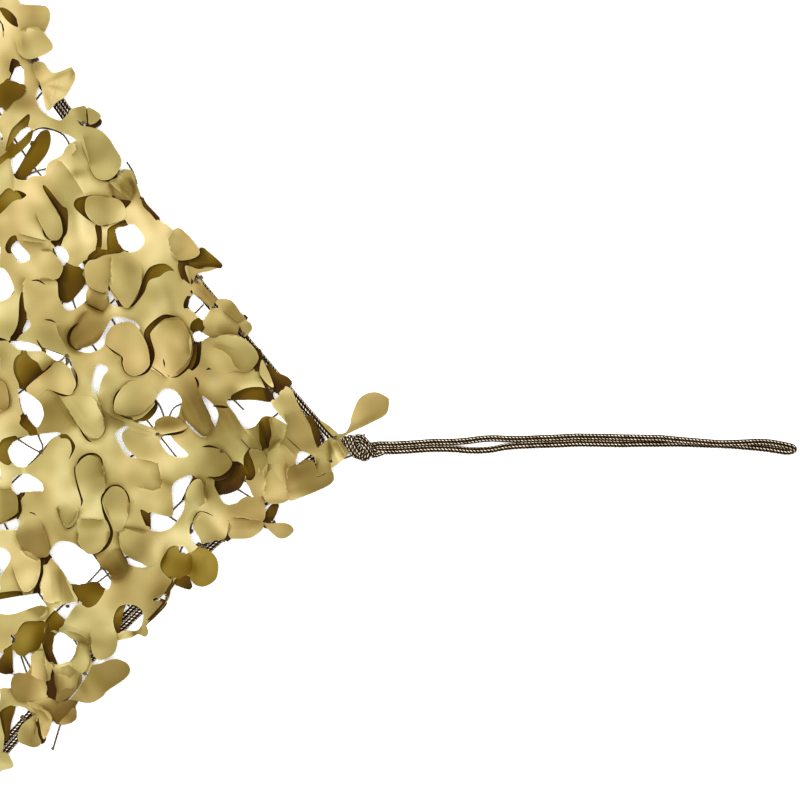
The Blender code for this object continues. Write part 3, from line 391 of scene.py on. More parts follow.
# Leaves that stand proud of the sheet: the place they grow from, how far the tip stands up
# in millimetres, how dark the leaf is painted (painted shade, 0 lit to 1 shaded), and the outline.
LEAVES = [
    (106, 318, -1.5, 1.4, 76, 326, 70, 331, 68, 338, 70, 345, 74, 350, 80, 350, 84, 347, 98, 340,
     106, 328, 108, 320, 100, 312, 90, 312, 84, 315),
    (50, 700, -1, 1.3, 48, 697, 57, 700, 66, 700, 74, 698, 79, 700, 76, 706, 77, 712, 75, 720, 60,
     724, 54, 720, 52, 715, 40, 708, 32, 706, 24, 702, 28, 700),
    (103, 553, -1.5, 1.1, 101, 565, 103, 560, 114, 550, 121, 549, 124, 553, 129, 565, 123, 576,
     117, 578, 111, 575, 108, 570),
    (16, 18, 3, 0.45, 18, 8, 30, 6, 48, 8, 51, 20, 44, 34, 30, 31, 20, 28),
    (20, 36, 6, 0.25, 20, 27, 38, 29, 50, 40, 54, 48, 51, 53, 34, 60, 24, 58, 18, 50, 17, 38),
    (36, 68, 9, 0.1, 34, 64, 45, 64, 54, 74, 73, 68, 73, 68, 77, 79, 68, 97, 58, 104, 51, 112, 47,
     108, 42, 86, 36, 76),
    (76, 118, 3, 0.5, 70, 112, 83, 107, 87, 108, 87, 116, 87, 124, 80, 122),
    (93, 123, 3, 0.45, 89, 108, 100, 114, 101, 119, 96, 124, 90, 125, 89, 117),
    (83, 129, 4, 0.4, 79, 129, 86, 127, 104, 133, 117, 151, 122, 160, 121, 168, 117, 175, 111, 180,
     104, 181, 97, 178, 92, 170, 89, 160, 84, 148),
    (34, 264, 3, 0.3, 33, 252, 42, 251, 52, 252, 64, 265, 62, 276, 56, 280, 40, 279, 32, 268),
    (42, 202, 3, 0.45, 38, 200, 46, 197, 59, 213, 64, 230, 62, 238, 58, 241, 52, 240, 47, 234, 38,
     215),
    (124, 208, 3.5, 0.45, 90, 197, 112, 198, 122, 202, 127, 212, 124, 220, 103, 226, 95, 223, 89,
     217, 86, 208),
    (112, 263, 4, 0.35, 90, 262, 97, 260, 105, 257, 112, 262, 113, 275, 110, 285, 108, 291, 103,
     293, 90, 286, 86, 270),
    (127, 258, 3.5, 0.35, 112, 258, 125, 256, 140, 262, 143, 275, 140, 290, 131, 307, 125, 307,
     118, 297, 111, 286, 113, 272),
    (98, 294, -3, 0.8, 89, 290, 97, 289, 108, 291, 110, 302, 106, 310, 101, 313, 88, 304),
    (121, 174, 1, 0.5, 110, 182, 118, 178, 121, 172, 133, 185, 134, 193, 131, 200, 122, 200, 115,
     197, 113, 190),
    (184, 272, -2, 0.3, 187, 266, 196, 268, 206, 266, 221, 267, 221, 267, 210, 271, 200, 273, 196,
     276, 194, 282, 191, 284, 186, 270),
    (169, 240, 7, 0.45, 176, 229, 184, 231, 200, 250, 196, 258, 178, 260, 169, 245, 169, 238),
    (194, 285, 2, 0.55, 192, 286, 196, 281, 201, 280, 206, 288, 218, 300, 215, 303, 211, 307, 197,
     295, 192, 290),
    (220, 304, 3, 0.6, 216, 303, 221, 299, 232, 301, 241, 313, 245, 317, 239, 322, 233, 318, 221,
     308),
    (242, 320, 2, 0.5, 239, 322, 245, 317, 247, 321, 251, 324, 252, 330, 245, 337, 243, 332),
    (40, 391, 4, 0.25, 28, 390, 34, 382, 50, 369, 57, 362, 69, 367, 77, 382, 75, 390, 70, 395, 55,
     391, 48, 390, 40, 396),
    (-10, 395, 3, 0.55, -8, 376, 2, 380, 7, 384, 10, 392, 11, 402, 9, 408, 2, 412, -8, 414),
    (172, 432, 5, 0.5, 156, 421, 162, 417, 170, 416, 178, 418, 185, 422, 188, 426, 186, 430, 178,
     431, 162, 433, 156, 428),
    (190, 394, -3, 0.85, 193, 392, 199, 388, 202, 396, 212, 420, 211, 433, 206, 435, 200, 432, 187,
     420, 183, 410, 184, 402, 188, 395),
    (243, 436, 4, 0.6, 245, 430, 251, 430, 256, 427, 259, 423, 260, 440, 262, 449, 250, 447, 241,
     434),
    (284, 430, 3, 0.5, 270, 417, 280, 420, 286, 425, 287, 431, 284, 436, 274, 444, 270, 450, 270,
     442, 272, 434),
    (263, 362, 1.5, 0.2, 263, 360, 272, 380, 274, 387, 270, 386, 262, 377, 260, 370),
    (216, 366, 5, 0.35, 203, 342, 211, 338, 235, 335, 252, 345, 259, 358, 252, 369, 245, 372, 236,
     371, 222, 374, 208, 366, 203, 354),
    (198, 462, 4, 0.58, 200, 449, 206, 447, 222, 450, 232, 461, 231, 467, 226, 472, 218, 476, 203,
     475, 197, 462),
    (261, 492, 2, 0.6, 250, 450, 263, 451, 269, 466, 265, 485, 264, 495, 254, 496, 250, 488, 246,
     480, 252, 480, 256, 474, 254, 463),
    (197, 506, 2.5, 0.35, 187, 498, 188, 490, 192, 483, 197, 479, 202, 480, 207, 495, 206, 503,
     200, 507, 192, 506),
    (290, 484, 4, 0.9, 287, 468, 292, 467, 299, 464, 305, 460, 311, 460, 315, 464, 317, 470, 317,
     477, 325, 474, 331, 470, 334, 476, 333, 481, 325, 487, 296, 499, 289, 499, 288, 490, 287,
     478),
    (322, 452, 2, 0.35, 316, 451, 329, 450, 331, 458, 331, 471, 325, 473, 317, 476, 317, 466, 315,
     458),
    (277, 452, 1.2, 0.35, 268, 455, 265, 485, 264, 498, 271, 503, 280, 503, 289, 499, 288, 490,
     287, 468, 284, 455, 276, 448),
    (334, 433, 1, 0.45, 320, 421, 327, 424, 338, 434, 334, 436, 331, 434),
    (333, 445, 2, 0.2, 331, 441, 335, 437, 340, 438, 343, 444, 349, 452, 340, 462, 331, 467, 330,
     460, 329, 452),
    (340, 435, 4, 0.36, 337, 437, 339, 434, 345, 433, 350, 425, 352, 415, 360, 398, 374, 392, 387,
     397, 389, 402, 386, 414, 372, 422, 348, 434, 342, 438),
    (107, 347, 3, 0.35, 107, 344, 112, 328, 127, 322, 135, 324, 140, 330, 148, 345, 151, 362, 148,
     369, 142, 374, 134, 376, 127, 372, 124, 364, 123, 356),
    (160, 350, 3.5, 0.4, 152, 338, 156, 328, 164, 321, 173, 318, 182, 320, 192, 340, 189, 362, 176,
     375, 170, 376, 166, 369, 165, 360),
    (152, 388, 3.5, 0.35, 117, 398, 116, 411, 125, 415, 135, 415, 143, 412, 156, 400, 158, 390,
     150, 383, 135, 381, 126, 385),
    (78, 394, 2, 0.18, 64, 400, 72, 396, 90, 396, 98, 402, 104, 415, 106, 427, 103, 435, 97, 439,
     92, 439, 86, 434, 72, 414),
    (95, 498, 2.5, 0.55, 77, 472, 80, 463, 91, 455, 103, 463, 107, 482, 105, 492, 96, 499, 86, 500,
     82, 492),
    (71, 501, 1.5, 0.3, 60, 512, 66, 525, 70, 527, 75, 524, 79, 517, 80, 508, 72, 500, 63, 502),
    (119, 528, 2, 0.35, 105, 500, 111, 488, 118, 486, 124, 489, 128, 495, 130, 505, 128, 520, 122,
     530, 115, 530, 113, 520),
    (-10, 505, 4, 0.7, -8, 490, 5, 490, 13, 490, 18, 495, 20, 502, 18, 513, 4, 521, -8, 525),
    (30, 514, 3, 0.85, 22, 518, 27, 513, 33, 513, 40, 517, 44, 524, 50, 542, 50, 555, 38, 556, 32,
     551, 26, 548, 21, 541, 19, 533),
    (20, 554, 4, 0.25, 14, 556, 26, 550, 40, 557, 42, 565, 41, 575, 38, 583, 33, 589, 28, 591, 23,
     588, 16, 572),
    (93, 520, 2.5, 0.35, 80, 518, 94, 519, 107, 520, 111, 534, 103, 549, 95, 553, 88, 552, 80, 542,
     79, 530),
    (157, 545, 2.5, 0.4, 120, 535, 121, 528, 128, 527, 152, 532, 160, 540, 162, 552, 158, 562, 150,
     566, 141, 562, 124, 551),
    (218, 520, 3.5, 0.45, 194, 520, 200, 512, 207, 513, 222, 520, 229, 521, 227, 535, 223, 539,
     215, 540, 208, 542, 202, 540, 195, 528),
    (246, 520, 2, 0.3, 231, 518, 240, 518, 252, 520, 263, 521, 263, 528, 257, 534, 248, 538, 230,
     538, 227, 536, 229, 528, 229, 521),
    (266, 524, 3, 0.4, 264, 523, 270, 523, 287, 523, 294, 529, 290, 535, 283, 538, 276, 536),
    (144, 623, 1, 0.3, 141, 628, 145, 622, 149, 631, 146, 636, 140, 634, 134, 633),
    (32, 619, 2, 0.6, 25, 616, 33, 608, 40, 605, 48, 607, 50, 611, 47, 617, 30, 620, 22, 619),
    (46, 692, 4, 0.85, 16, 674, 29, 673, 40, 679, 45, 680, 47, 686, 47, 693, 48, 697, 30, 700, 22,
     700, 17, 696, 12, 685),
    (45, 678, 1.5, 0.2, 33, 654, 43, 649, 45, 655, 50, 662, 54, 665, 52, 673, 50, 680, 38, 678, 31,
     672, 32, 662),
    (68, 663, 1, 0.9, 54, 667, 60, 664, 71, 661, 81, 672, 83, 679, 76, 691, 63, 700, 57, 699, 58,
     690, 55, 672),
    (77, 698, 6, 0.9, 93, 665, 100, 663, 115, 658, 127, 661, 131, 667, 130, 673, 124, 679, 108,
     690, 103, 696, 91, 702, 78, 700, 72, 698, 78, 690, 90, 671),
    (104, 625, 3, 0.35, 91, 634, 94, 653, 103, 659, 115, 652, 118, 638, 114, 628, 104, 623, 95,
     626),
    (83, 668, -1, 0.4, 79, 642, 90, 645, 91, 655, 94, 666, 88, 672, 82, 671, 79, 665, 71, 661, 75,
     655),
    (66, 718, 1, 0.8, 74, 707, 77, 711, 76, 718, 72, 722, 65, 724, 60, 723, 63, 718, 69, 713),
    (38, 716, 2.5, 0.45, 38, 714, 25, 722, 20, 730, 19, 737, 22, 742, 35, 746, 42, 743, 42, 740,
     39, 733, 38, 724),
    (30, 702, 2.5, 0.25, 24, 701, 34, 702, 43, 706, 50, 712, 53, 720, 45, 738, 39, 716, 31, 709),
    (4, 756, 1, 0.25, 2, 752, 8, 752, 12, 758, 14, 766, 0, 770, -8, 772, -8, 755),
]
# Painted shade (positive) and painted light (negative) on the cloth: middle, length, width, turn,
# amount.
PAINTED_SHADES = [
    (226, 430, 60, 26, -70, 0.23), (12, 105, 40, 18, 20, 0.23), (65, 575, 44, 18, -75, 0.2),
    (150, 445, 40, 24, -60, 0.2), (280, 440, 70, 26, -55, 0.16), (60, 205, 40, 14, -60, 0.2),
    (12, 214, 46, 20, 30, -0.15), (98, 303, 22, 18, -20, 0.33), (240, 505, 50, 20, 0, 0.2),
    (88, 230, 60, 20, -80, -0.24), (18, 170, 40, 30, 20, -0.21), (196, 405, 60, 28, -70, 0.4),
    (78, 174, 20, 9, 10, 0.33), (40, 246, 24, 12, -10, 0.2), (76, 222, 40, 12, -80, 0.16),
    (138, 190, 40, 14, -60, 0.23), (55, 336, 40, 26, -30, 0.2), (48, 366, 40, 14, 35, 0.35),
    (172, 305, 46, 9, -75, 0.16), (207, 332, 26, 16, 10, 0.26), (228, 330, 16, 12, 0, 0.33),
    (222, 348, 36, 12, -20, 0.16), (110, 420, 26, 16, 0, 0.23), (104, 488, 22, 16, 0, 0.23),
    (222, 412, 34, 20, -60, 0.23), (236, 425, 44, 10, -65, 0.2), (130, 438, 40, 20, -60, 0.2),
    (206, 488, 34, 14, -70, 0.26), (168, 482, 20, 8, -30, 0.26), (222, 385, 30, 20, 0, -0.17),
    (10, 60, 40, 24, -60, 0.16), (78, 340, 24, 20, -40, 0.3), (122, 566, 18, 30, -20, 0.33),
    (266, 434, 36, 13, -80, 0.95), (283, 400, 22, 16, 0, 0.2), (310, 445, 22, 16, 0, 0.2),
    (326, 470, 16, 10, 0, 0.2), (66, 590, 44, 10, -70, 0.26), (92, 524, 34, 9, 0, 0.26),
    (100, 545, 24, 12, 20, -0.17), (165, 588, 18, 26, -30, 0.33), (158, 612, 34, 14, 50, 0.23),
    (210, 565, 30, 10, -80, -0.21), (165, 560, 30, 10, 75, 0.23), (54, 680, 26, 14, -80, 0.5),
    (80, 680, 30, 8, -60, 0.33), (92, 640, 34, 10, -20, 0.23), (50, 708, 40, 12, -15, 0.2),
    (240, 526, 24, 8, 0, 0.2), (98, 304, 20, 16, -20, 0.2), (130, 270, 40, 14, -80, 0.16),
    (94, 330, 34, 30, 20, 0.4), (12, 70, 30, 14, -70, 0.2), (26, 44, 34, 10, -80, 0.2),
    (84, 115, 20, 20, 0, 0.2), (140, 200, 60, 10, -60, 0.16), (250, 350, 30, 14, -60, 0.16),
    (205, 290, 30, 8, -45, 0.2), (8, 330, 30, 24, 0, 0.16), (232, 392, 14, 14, 0, 0.26),
    (338, 455, 20, 8, -70, -0.21), (330, 452, 24, 6, -80, 0.4), (345, 448, 20, 6, -60, 0.33),
    (375, 415, 30, 10, 30, 0.16), (194, 565, 26, 8, -80, 0.3), (20, 100, 30, 22, -30, 0.15),
    (114, 563, 30, 28, 0, 0.4), (62, 710, 44, 26, 0, 0.45), (67, 684, 26, 30, 0, 0.15),
    (173, 424, 28, 16, 0, 0.35), (202, 414, 50, 24, -65, 0.3), (232, 424, 50, 22, -60, 0.15),
    (302, 472, 34, 18, 0, 0.35), (35, 540, 30, 30, 0, 0.15), (128, 590, 30, 22, 40, 0.15),
    (300, 490, 44, 10, 25, 0.2), (230, 312, 30, 12, -50, 0.2), (120, 186, 20, 24, -50, 0.2),
    (24, 104, 24, 16, 0, 0.15), (248, 380, 40, 14, 0, 0.15), (255, 378, 30, 18, 0, 0.15),
    (50, 412, 40, 26, -55, 0.26), (114, 416, 20, 12, -30, 0.3), (360, 425, 44, 7, 26, 0.3),
    (59, 78, 36, 5, 24, 0.28), (57, 89, 28, 5, -14, 0.24), (48, 97, 24, 5, -66, 0.24),
    (75, 74, 14, 6, 80, 0.5), (36, 68, 10, 16, 0, 0.3), (215, 463, 30, 20, -20, 0.15),
    (305, 470, 26, 14, 20, 0.25), (28, 735, 22, 9, -70, 0.25), (98, 565, 20, 14, 0, 0.2),
    (120, 570, 16, 16, 0, 0.35), (94, 322, 30, 22, 20, 0.2), (165, 600, 20, 20, 0, 0.2),
]
# Slits that have drawn open a little, each drawn as a dark back that stands for the shade in
# the gap: width in ribs, and their line from end to end.
SLITS = [
    (3.4, 80, 323, 73, 329, 69.5, 337, 71, 345, 77, 350),
    (9, 1, 9, 7, 14, 20, 28),
    (1.8, 239, 322, 243, 330, 246, 337),
    (1.8, 231, 462, 238, 462, 245, 466),
    (3, 91, 161, 92, 167, 99, 178, 104, 180.5),
    (5, 104, 181, 115, 179, 118, 175),
    (2, 44, 228, 45, 233, 48, 238, 52, 241),
    (2.6, 54, 391, 61, 394.5, 68, 395, 74, 391, 77.5, 384, 77.5, 376, 74, 368),
    (3.2, 124, 352, 123.5, 360, 126, 369, 131, 374.5, 139, 376),
    (6.5, 181, 319, 172, 317, 163, 318, 150, 330, 148.5, 338, 153, 355, 149, 369, 143, 374, 136,
     376),
    (3.4, 124, 388, 119, 393, 116, 400, 115, 408),
    (3, 167, 352, 165.5, 361, 170, 377),
    (2.6, 172, 377.5, 180, 375.5, 192, 363, 195, 345),
    (2.6, 80, 426, 88, 438.5, 93, 442),
    (3.4, 76, 466, 77, 474, 83, 498, 82.5, 506),
    (2.4, 78, 466, 81, 459, 88, 454.5, 96, 454, 102, 458, 104.5, 465),
    (2.4, 103, 506, 103, 498, 107, 490.5, 113, 486, 120, 485.5, 126, 489),
    (1.6, 126, 489, 129, 495, 131, 503),
    (3.8, 103, 502, 105, 511, 112, 529, 112, 537, 108.5, 545, 102, 550.5, 93, 553),
    (3, 22, 492, 21, 500, 22, 508, 20, 514, 8, 521),
    (2, 31, 512, 35, 513.5, 38, 516),
    (2, 66, 525, 70, 527.5, 74, 525),
    (3.2, 201, 448, 208, 446.5, 215, 447.5, 222, 451),
    (2.8, 163, 435, 181, 432.5, 189, 427.5),
    (2.6, 232, 463, 230, 470, 224, 475.5, 216, 477.5, 209, 477),
    (2.6, 214, 406, 221, 406.5, 229, 407.5),
    (2.2, 194, 526, 194.5, 519, 199, 512.5, 206, 512.5, 214, 516),
    (3.8, 229, 520, 227, 535, 229, 539),
    (2, 232, 518.5, 242, 518.5, 251, 520),
    (3.4, 42, 562, 43.5, 570, 40, 585),
    (2, 240, 322, 243, 320, 246, 317),
    (2.6, 196, 377, 199, 383, 199, 388),
    (2.4, 207, 370, 211, 368.5, 216, 370),
    (2.8, 316, 471, 318, 476, 325, 474.5, 331, 471),
    (2, 88, 304.5, 96, 308.5, 105, 312.5),
    (2, 46, 320, 52, 320.5, 57, 323),
    (1.8, 33, 281, 40, 281, 47, 285),
    (1.8, 107, 345, 115, 352, 123, 357),
    (1.8, 38, 340, 42, 347, 47, 352),
    (1.2, 152, 366, 160, 372, 168, 378),
    (1.2, 241, 438, 246, 444, 250, 449),
    (1.2, 287, 437, 294, 444, 302, 451),
]
# Twine that shows across the openings, and where it tangles on top of the sheet: cell, size
# in ribs, height in millimetres.
TWINE_RUNS = [
    (28, 134, 42, 128, 62, 134, 72, 149),
    (21, 182, 32, 173, 54, 167),
    (39, 432, 39, 437, 43, 448, 36, 458, 28, 466, 25, 471),
    (151, 395, 160, 406, 165, 420),
    (186, 402, 174, 408, 168, 420),
    (232, 398, 240, 406, 244, 410),
    (234, 487, 239, 490, 252, 498),
    (172, 511, 185, 498, 189, 494),
    (115, 569, 110, 573, 94, 585),
    (3, 520, 5, 524, 10, 533),
    (21, 650, 31, 669, 33, 674),
    (110, 315, 116, 326, 118, 331),
    (62, 350, 70, 362, 76, 375, 77, 381),
    (60, 361, 69, 355, 68, 364),
    (127, 162, 133, 172, 137, 184),
    (62, 720, 57, 736, 53, 750),
]
TANGLES = [
    (50, 241, 1.8, 5.4), (158, 434, 2.0, 5.4), (67, 356, 1.9, 4.8), (41, 452, 1.5, 4.2),
    (191, 531, 1.4, 4.2), (197, 282, 1.6, 9.6), (243, 334, 1.8, 9.6), (331, 461, 1.6, 9.8),
    (84, 124, 1.9, 9.8), (31, 62, 1.6, 9.4), (118, 174, 1.9, 9.4), (86, 673, 1.8, 9.2),
    (224, 540, 1.9, 7.6), (203, 546, 1.9, 7.4), (272, 391, 1.9, 9.4),
    (68, 606, 1.9, 2.6), (222, 451, 1.2, 13.6), (335, 438, 1.7, 9.8), (53, 748, 1.4, 2.2),
    (15, 640, 1.9, 4.6),
]
# Ridges (positive) and troughs: first cell, last cell, half width in ribs, millimetres.
FOLDS = [
    (25, 235, 49, 241, 2.2, -1.2), (22, 240, 48, 246, 2.4, 1.3), (14, 150, 16, 190, 2.2, -1.4),
    (45, 320, 60, 324, 2, -1), (88, 305, 106, 313, 2.2, -1.6), (92, 292, 104, 306, 4, 1.2),
    (60, 400, 82, 432, 3, -1.4), (70, 396, 92, 430, 4, 1.2), (150, 366, 168, 379, 1.8, -1.1),
    (213, 345, 236, 352, 2.4, -1.1), (125, 420, 156, 432, 2.2, -1.3),
    (124, 427, 156, 435, 2.2, 1.2), (240, 438, 250, 449, 2, -1.2), (287, 436, 303, 452, 2.2, -1.3),
    (160, 480, 172, 487, 2, -1.1), (265, 502, 300, 503, 2.2, -1.2), (185, 392, 205, 430, 4, 1.6),
    (214, 408, 232, 440, 4, -1.4), (224, 404, 240, 436, 3.4, 1.3), (110, 182, 131, 199, 1.8, 1.6),
    (114, 178, 134, 196, 1.6, -1.4), (118, 174, 136, 192, 1.8, 1.4), (78, 168, 80, 182, 3, -1.2),
    (16, 40, 24, 60, 2.4, -1.4), (22, 36, 22, 62, 2.4, 1.2), (334, 438, 346, 458, 2.4, 2.2),
    (330, 440, 339, 462, 2.2, -1.8), (326, 440, 331, 465, 2.4, 1.6), (30, 704, 48, 730, 1.6, 1.6),
    (28, 708, 42, 730, 1.5, -1.4), (38, 704, 52, 722, 1.6, -1.4), (36, 716, 34, 744, 2, 1.8),
    (50, 664, 50, 698, 3, -1.6), (62, 664, 60, 696, 3, 1.2), (82, 518, 106, 520, 1.8, -1.4),
    (80, 640, 92, 668, 3, 1.2), (190, 548, 192, 572, 3, -1.8), (168, 545, 164, 572, 2.4, -1.4),
    (205, 550, 200, 582, 4, 1.4), (62, 572, 66, 604, 3, -1.4), (50, 568, 54, 606, 3, 1.2),
    (64, 628, 90, 640, 2.4, -1.4), (66, 622, 92, 632, 2.4, 1.2), (240, 512, 258, 516, 2.4, 1),
    (196, 284, 214, 302, 1.6, -1.2), (192, 288, 210, 305, 1.6, 1.2), (168, 238, 178, 230, 2, -1),
    (222, 268, 188, 266, 3, -1.6), (186, 262, 190, 284, 2.4, 1.6), (178, 262, 184, 282, 2.4, -1.6),
    (262, 420, 268, 446, 3, -2.2), (250, 430, 258, 446, 3, 1.4), (276, 420, 280, 440, 4, 1.2),
    (284, 388, 276, 400, 3, 1.2), (298, 410, 318, 440, 2.4, 1.2), (60, 100, 44, 84, 2.4, 1.2),
    (62, 74, 50, 108, 2, 1.4), (46, 84, 52, 110, 2.2, -1.2),
]
# Regular cutting beyond the shaped stretch: one slit at every step of this lattice.
LATTICE_START = (80, 490)
LATTICE_STEP = (25, 27)
LATTICE_DROP = 111
LATTICE_ROWS, LATTICE_COLUMNS = (-9, 8), (-24, 4)
LATTICE_LAST_COLUMN = -12
LATTICE_MARGIN = 0.004
LATTICE_LIFTS = [14, -30, 40, -60, 22, 130, -20, 60, 10, -45]
LATTICE_SEED = 7
SLIT = 0.0013
SLIT_DROP, SLIT_SHADE = 2.6, 0.95     # what shows through an open slit, as a back painted near the deepest shade

# Flaps that lie flat on the sheet: the painted shade below the line, its reach in ribs, the step
# in millimetres, and the line, with the shaded side to the right of the way it runs.
STEPS = [
    (0.45, 14, 0.5, 58, 393, 66, 404, 80, 428),
    (0.35, 8, 0.4, 105, 428, 105, 416, 102, 405, 97, 394),
    (0.55, 3, 0.4, 102, 458, 104.5, 466, 105, 476),
    (0.45, 5, 0.4, 80, 517.5, 93, 518.5, 106, 519.5),
    (0.35, 5, 0.4, 70, 527, 64, 523, 57, 506),
    (0.3, 4, 0.4, 80, 510, 77, 518, 70, 526),
    (0.35, 4, 0.4, 138, 458, 152, 461, 159, 464, 163, 483, 161, 488, 154, 490.5, 136, 486),
    (0.3, 5, 0.4, 207, 479, 205, 503, 198, 508),
    (0.5, 3, 0.5, 231, 517, 245, 518.5, 263, 520.5),
    (0.3, 7, 0.4, 62, 566, 68, 582, 77, 600),
    (0.4, 7, 0.5, 66, 629, 80, 633, 92, 640, 90, 655),
    (0.3, 9, 0.4, 57, 160, 63, 163, 70, 171, 86, 196),
    (0.35, 6, 0.4, 92, 168, 88, 152, 83, 135),
    (0.4, 4, 0.4, 72, 157, 77, 150, 75, 143),
    (0.4, 2.5, 0.5, 20, 234, 34, 238, 49, 241.5),
    (0.35, 2.5, 0.4, 24, 241, 36, 243, 48, 244.5),
    (0.4, 9, 0.4, 278, 448, 286, 434, 287, 424, 283, 412),
    (0.4, 8, 0.4, 289, 497, 287, 486, 287, 474, 290, 467, 298, 463),
    (0.35, 4, 0.4, 264, 496, 268, 465, 266, 450),
    (0.4, 6, 0.4, 246, 338, 232, 335, 216, 333),
    (0.35, 4, 0.4, 242, 372, 235, 366, 231, 357, 224, 351, 213, 347),
    (0.3, 5, 0.4, 46, 34, 38, 28, 30, 28, 21, 33),
    (0.35, 9, 0.4, 177, 260, 171, 251, 169, 240, 174, 230),
    (0.4, 10, 0.4, 105, 313, 96, 308, 86, 303),
    (0.35, 6, 0.4, 68, 349, 60, 335, 57, 324),
    (0.35, 5, 0.4, 28, 278, 24, 284, 25, 296),
    (0.35, 6, 0.4, 56, 362, 46, 371, 36, 381),
    (0.3, 6, 0.4, 199, 380, 200, 392, 206, 402),
    (0.4, 8, 0.4, 105, 410, 114, 417, 128, 423),
    (0.35, 4, 0.4, 113, 256, 112, 270, 113, 286),
    (0.3, 6, 0.4, 150, 368, 160, 373, 170, 379),
    (0.35, 5, 0.4, 48, 556, 38, 560, 28, 555, 20, 546),
    (0.35, 4, 0.4, 44, 574, 42, 586, 35, 592),
    (0.35, 5, 0.4, 318, 476, 317, 466, 315, 456),
    (0.45, 2.5, 0.6, 331, 452, 332, 460, 331, 470),
    (0.4, 4, 0.5, 131, 176, 135, 184, 137, 196),
    (0.35, 3, 0.4, 110, 183, 120, 192, 130, 200),
    (0.3, 6, 0.4, 130, 528, 121, 533, 121, 545),
    (0.35, 4, 0.4, 45, 655, 47, 668, 50, 682),
    (0.4, 4, 0.5, 38, 714, 37, 728, 34, 744),
    (0.35, 3, 0.4, 60, 667, 70, 664, 80, 672),
    (0.3, 6, 0.4, 233, 402, 240, 420, 250, 436),
    (0.3, 4, 0.4, 296, 456, 286, 446, 278, 441),
    (0.7, 3, 0.6, 158, 434, 172, 434.5, 189, 427),
    (0.6, 2.5, 0.7, 336, 440, 341, 449, 346, 457),
    (0.5, 5, 0.5, 76, 350, 70, 345, 68, 338, 71, 330, 79, 321),
    (0.4, 4, 0.4, 128, 572, 120, 578, 111, 574, 105, 566),
    (0.35, 6, 0.4, 122, 170, 124, 160, 116, 148, 106, 134),
    (0.3, 6, 0.4, 45, 600, 52, 603, 62, 600),
    (0.35, 5, 0.4, 33, 706, 45, 711, 52, 720),
    (0.4, 4, 0.4, 192, 326, 190, 340, 191, 356),
]


def braided_rope_finish():
    """Braided polyester rope: beads of cream in rows along a dark golden-brown ground. The cream
    is partly pale yarn and partly a painted highlight on the glossy picks; the near-black ground
    is partly the brown yarn and partly painted shade, darkest in the grooves between the picks."""
    made, tree, shader = finish_of("braided_brown_rope", Roughness=0.7, IOR=1.45,
                                   Specular_IOR_Level=0.05)
    add = partial(add_node, tree)
    bead = add("ShaderNodeAttribute", {"attribute_name": "bead"})
    row = add("ShaderNodeAttribute", {"attribute_name": "row"})
    place = add("ShaderNodeTexCoord")
    wear = add("ShaderNodeTexNoise", None,
               {"Vector": place.outputs["Object"], "Scale": 260.0, "Detail": 3.0})
    ground = add("ShaderNodeValToRGB", None, {"Fac": wear.outputs["Fac"]})
    # painted shade: the ground is drawn near-black so that the grooves read dark
    shade_stops(ground, (0.35, "#0B0401"), (0.68, "#261604"))
    cream_and_highlight = add("ShaderNodeValToRGB", None, {"Fac": wear.outputs["Fac"]})
    shade_stops(cream_and_highlight, (0.32, "#B09768"), (0.58, "#F4E9CF"))
    share = add("ShaderNodeMath", {"operation": "MULTIPLY", "use_clamp": True},
                {0: bead.outputs["Fac"], 1: row.outputs["Fac"]})
    # the edge of each bead: cream fills the middle of its pick
    full = add("ShaderNodeMapRange", None, {"Value": share, "From Min": 0.40, "From Max": 0.66})
    yarn_and_highlight = add("ShaderNodeMix", {"data_type": "RGBA"}, {0: full, 6: ground, 7: cream_and_highlight})
    tree.links.new(yarn_and_highlight.outputs[2], shader.inputs["Base Color"])
    fibre = add("ShaderNodeTexNoise", None,
                {"Vector": place.outputs["Object"], "Scale": 2600.0, "Detail": 2.0})
    bump = add("ShaderNodeBump", None,
               {"Strength": 0.35, "Distance": 0.0002, "Height": fibre.outputs["Fac"]})
    tree.links.new(bump.outputs["Normal"], shader.inputs["Normal"])
    return made


def twine_finish():
    """Twisted polyester twine: dark brown and grey, slightly glossy, fuzzy."""
    made, tree, shader = finish_of("twisted_dark_twine", Roughness=0.6, IOR=1.45,
                                   Specular_IOR_Level=0.12)
    add = partial(add_node, tree)
    place = add("ShaderNodeTexCoord")
    bead = add("ShaderNodeAttribute", {"attribute_name": "bead"})
    fade = add("ShaderNodeTexNoise", None,
               {"Vector": place.outputs["Object"], "Scale": 180.0, "Detail": 3.0})
    tint = add("ShaderNodeMath", {"operation": "MULTIPLY_ADD", "use_clamp": True},
               {0: bead.outputs["Fac"], 1: 0.45, 2: fade.outputs["Fac"]})
    shade = add("ShaderNodeValToRGB", None, {"Fac": tint})
    shade_stops(shade, (0.3, "#1C130C"), (0.95, "#5C503D"))
    tree.links.new(shade.outputs["Color"], shader.inputs["Base Color"])
    return made


BODY = "root"
ROPE_REST = ROPE_D * 0.5 + 0.0002     # the middle of a rope that lies on the floor
LOOP_POINTS, BORDER_POINTS = 420, 400
ROPE_FINISH = braided_rope_finish()
TWINE_FINISH = twine_finish()


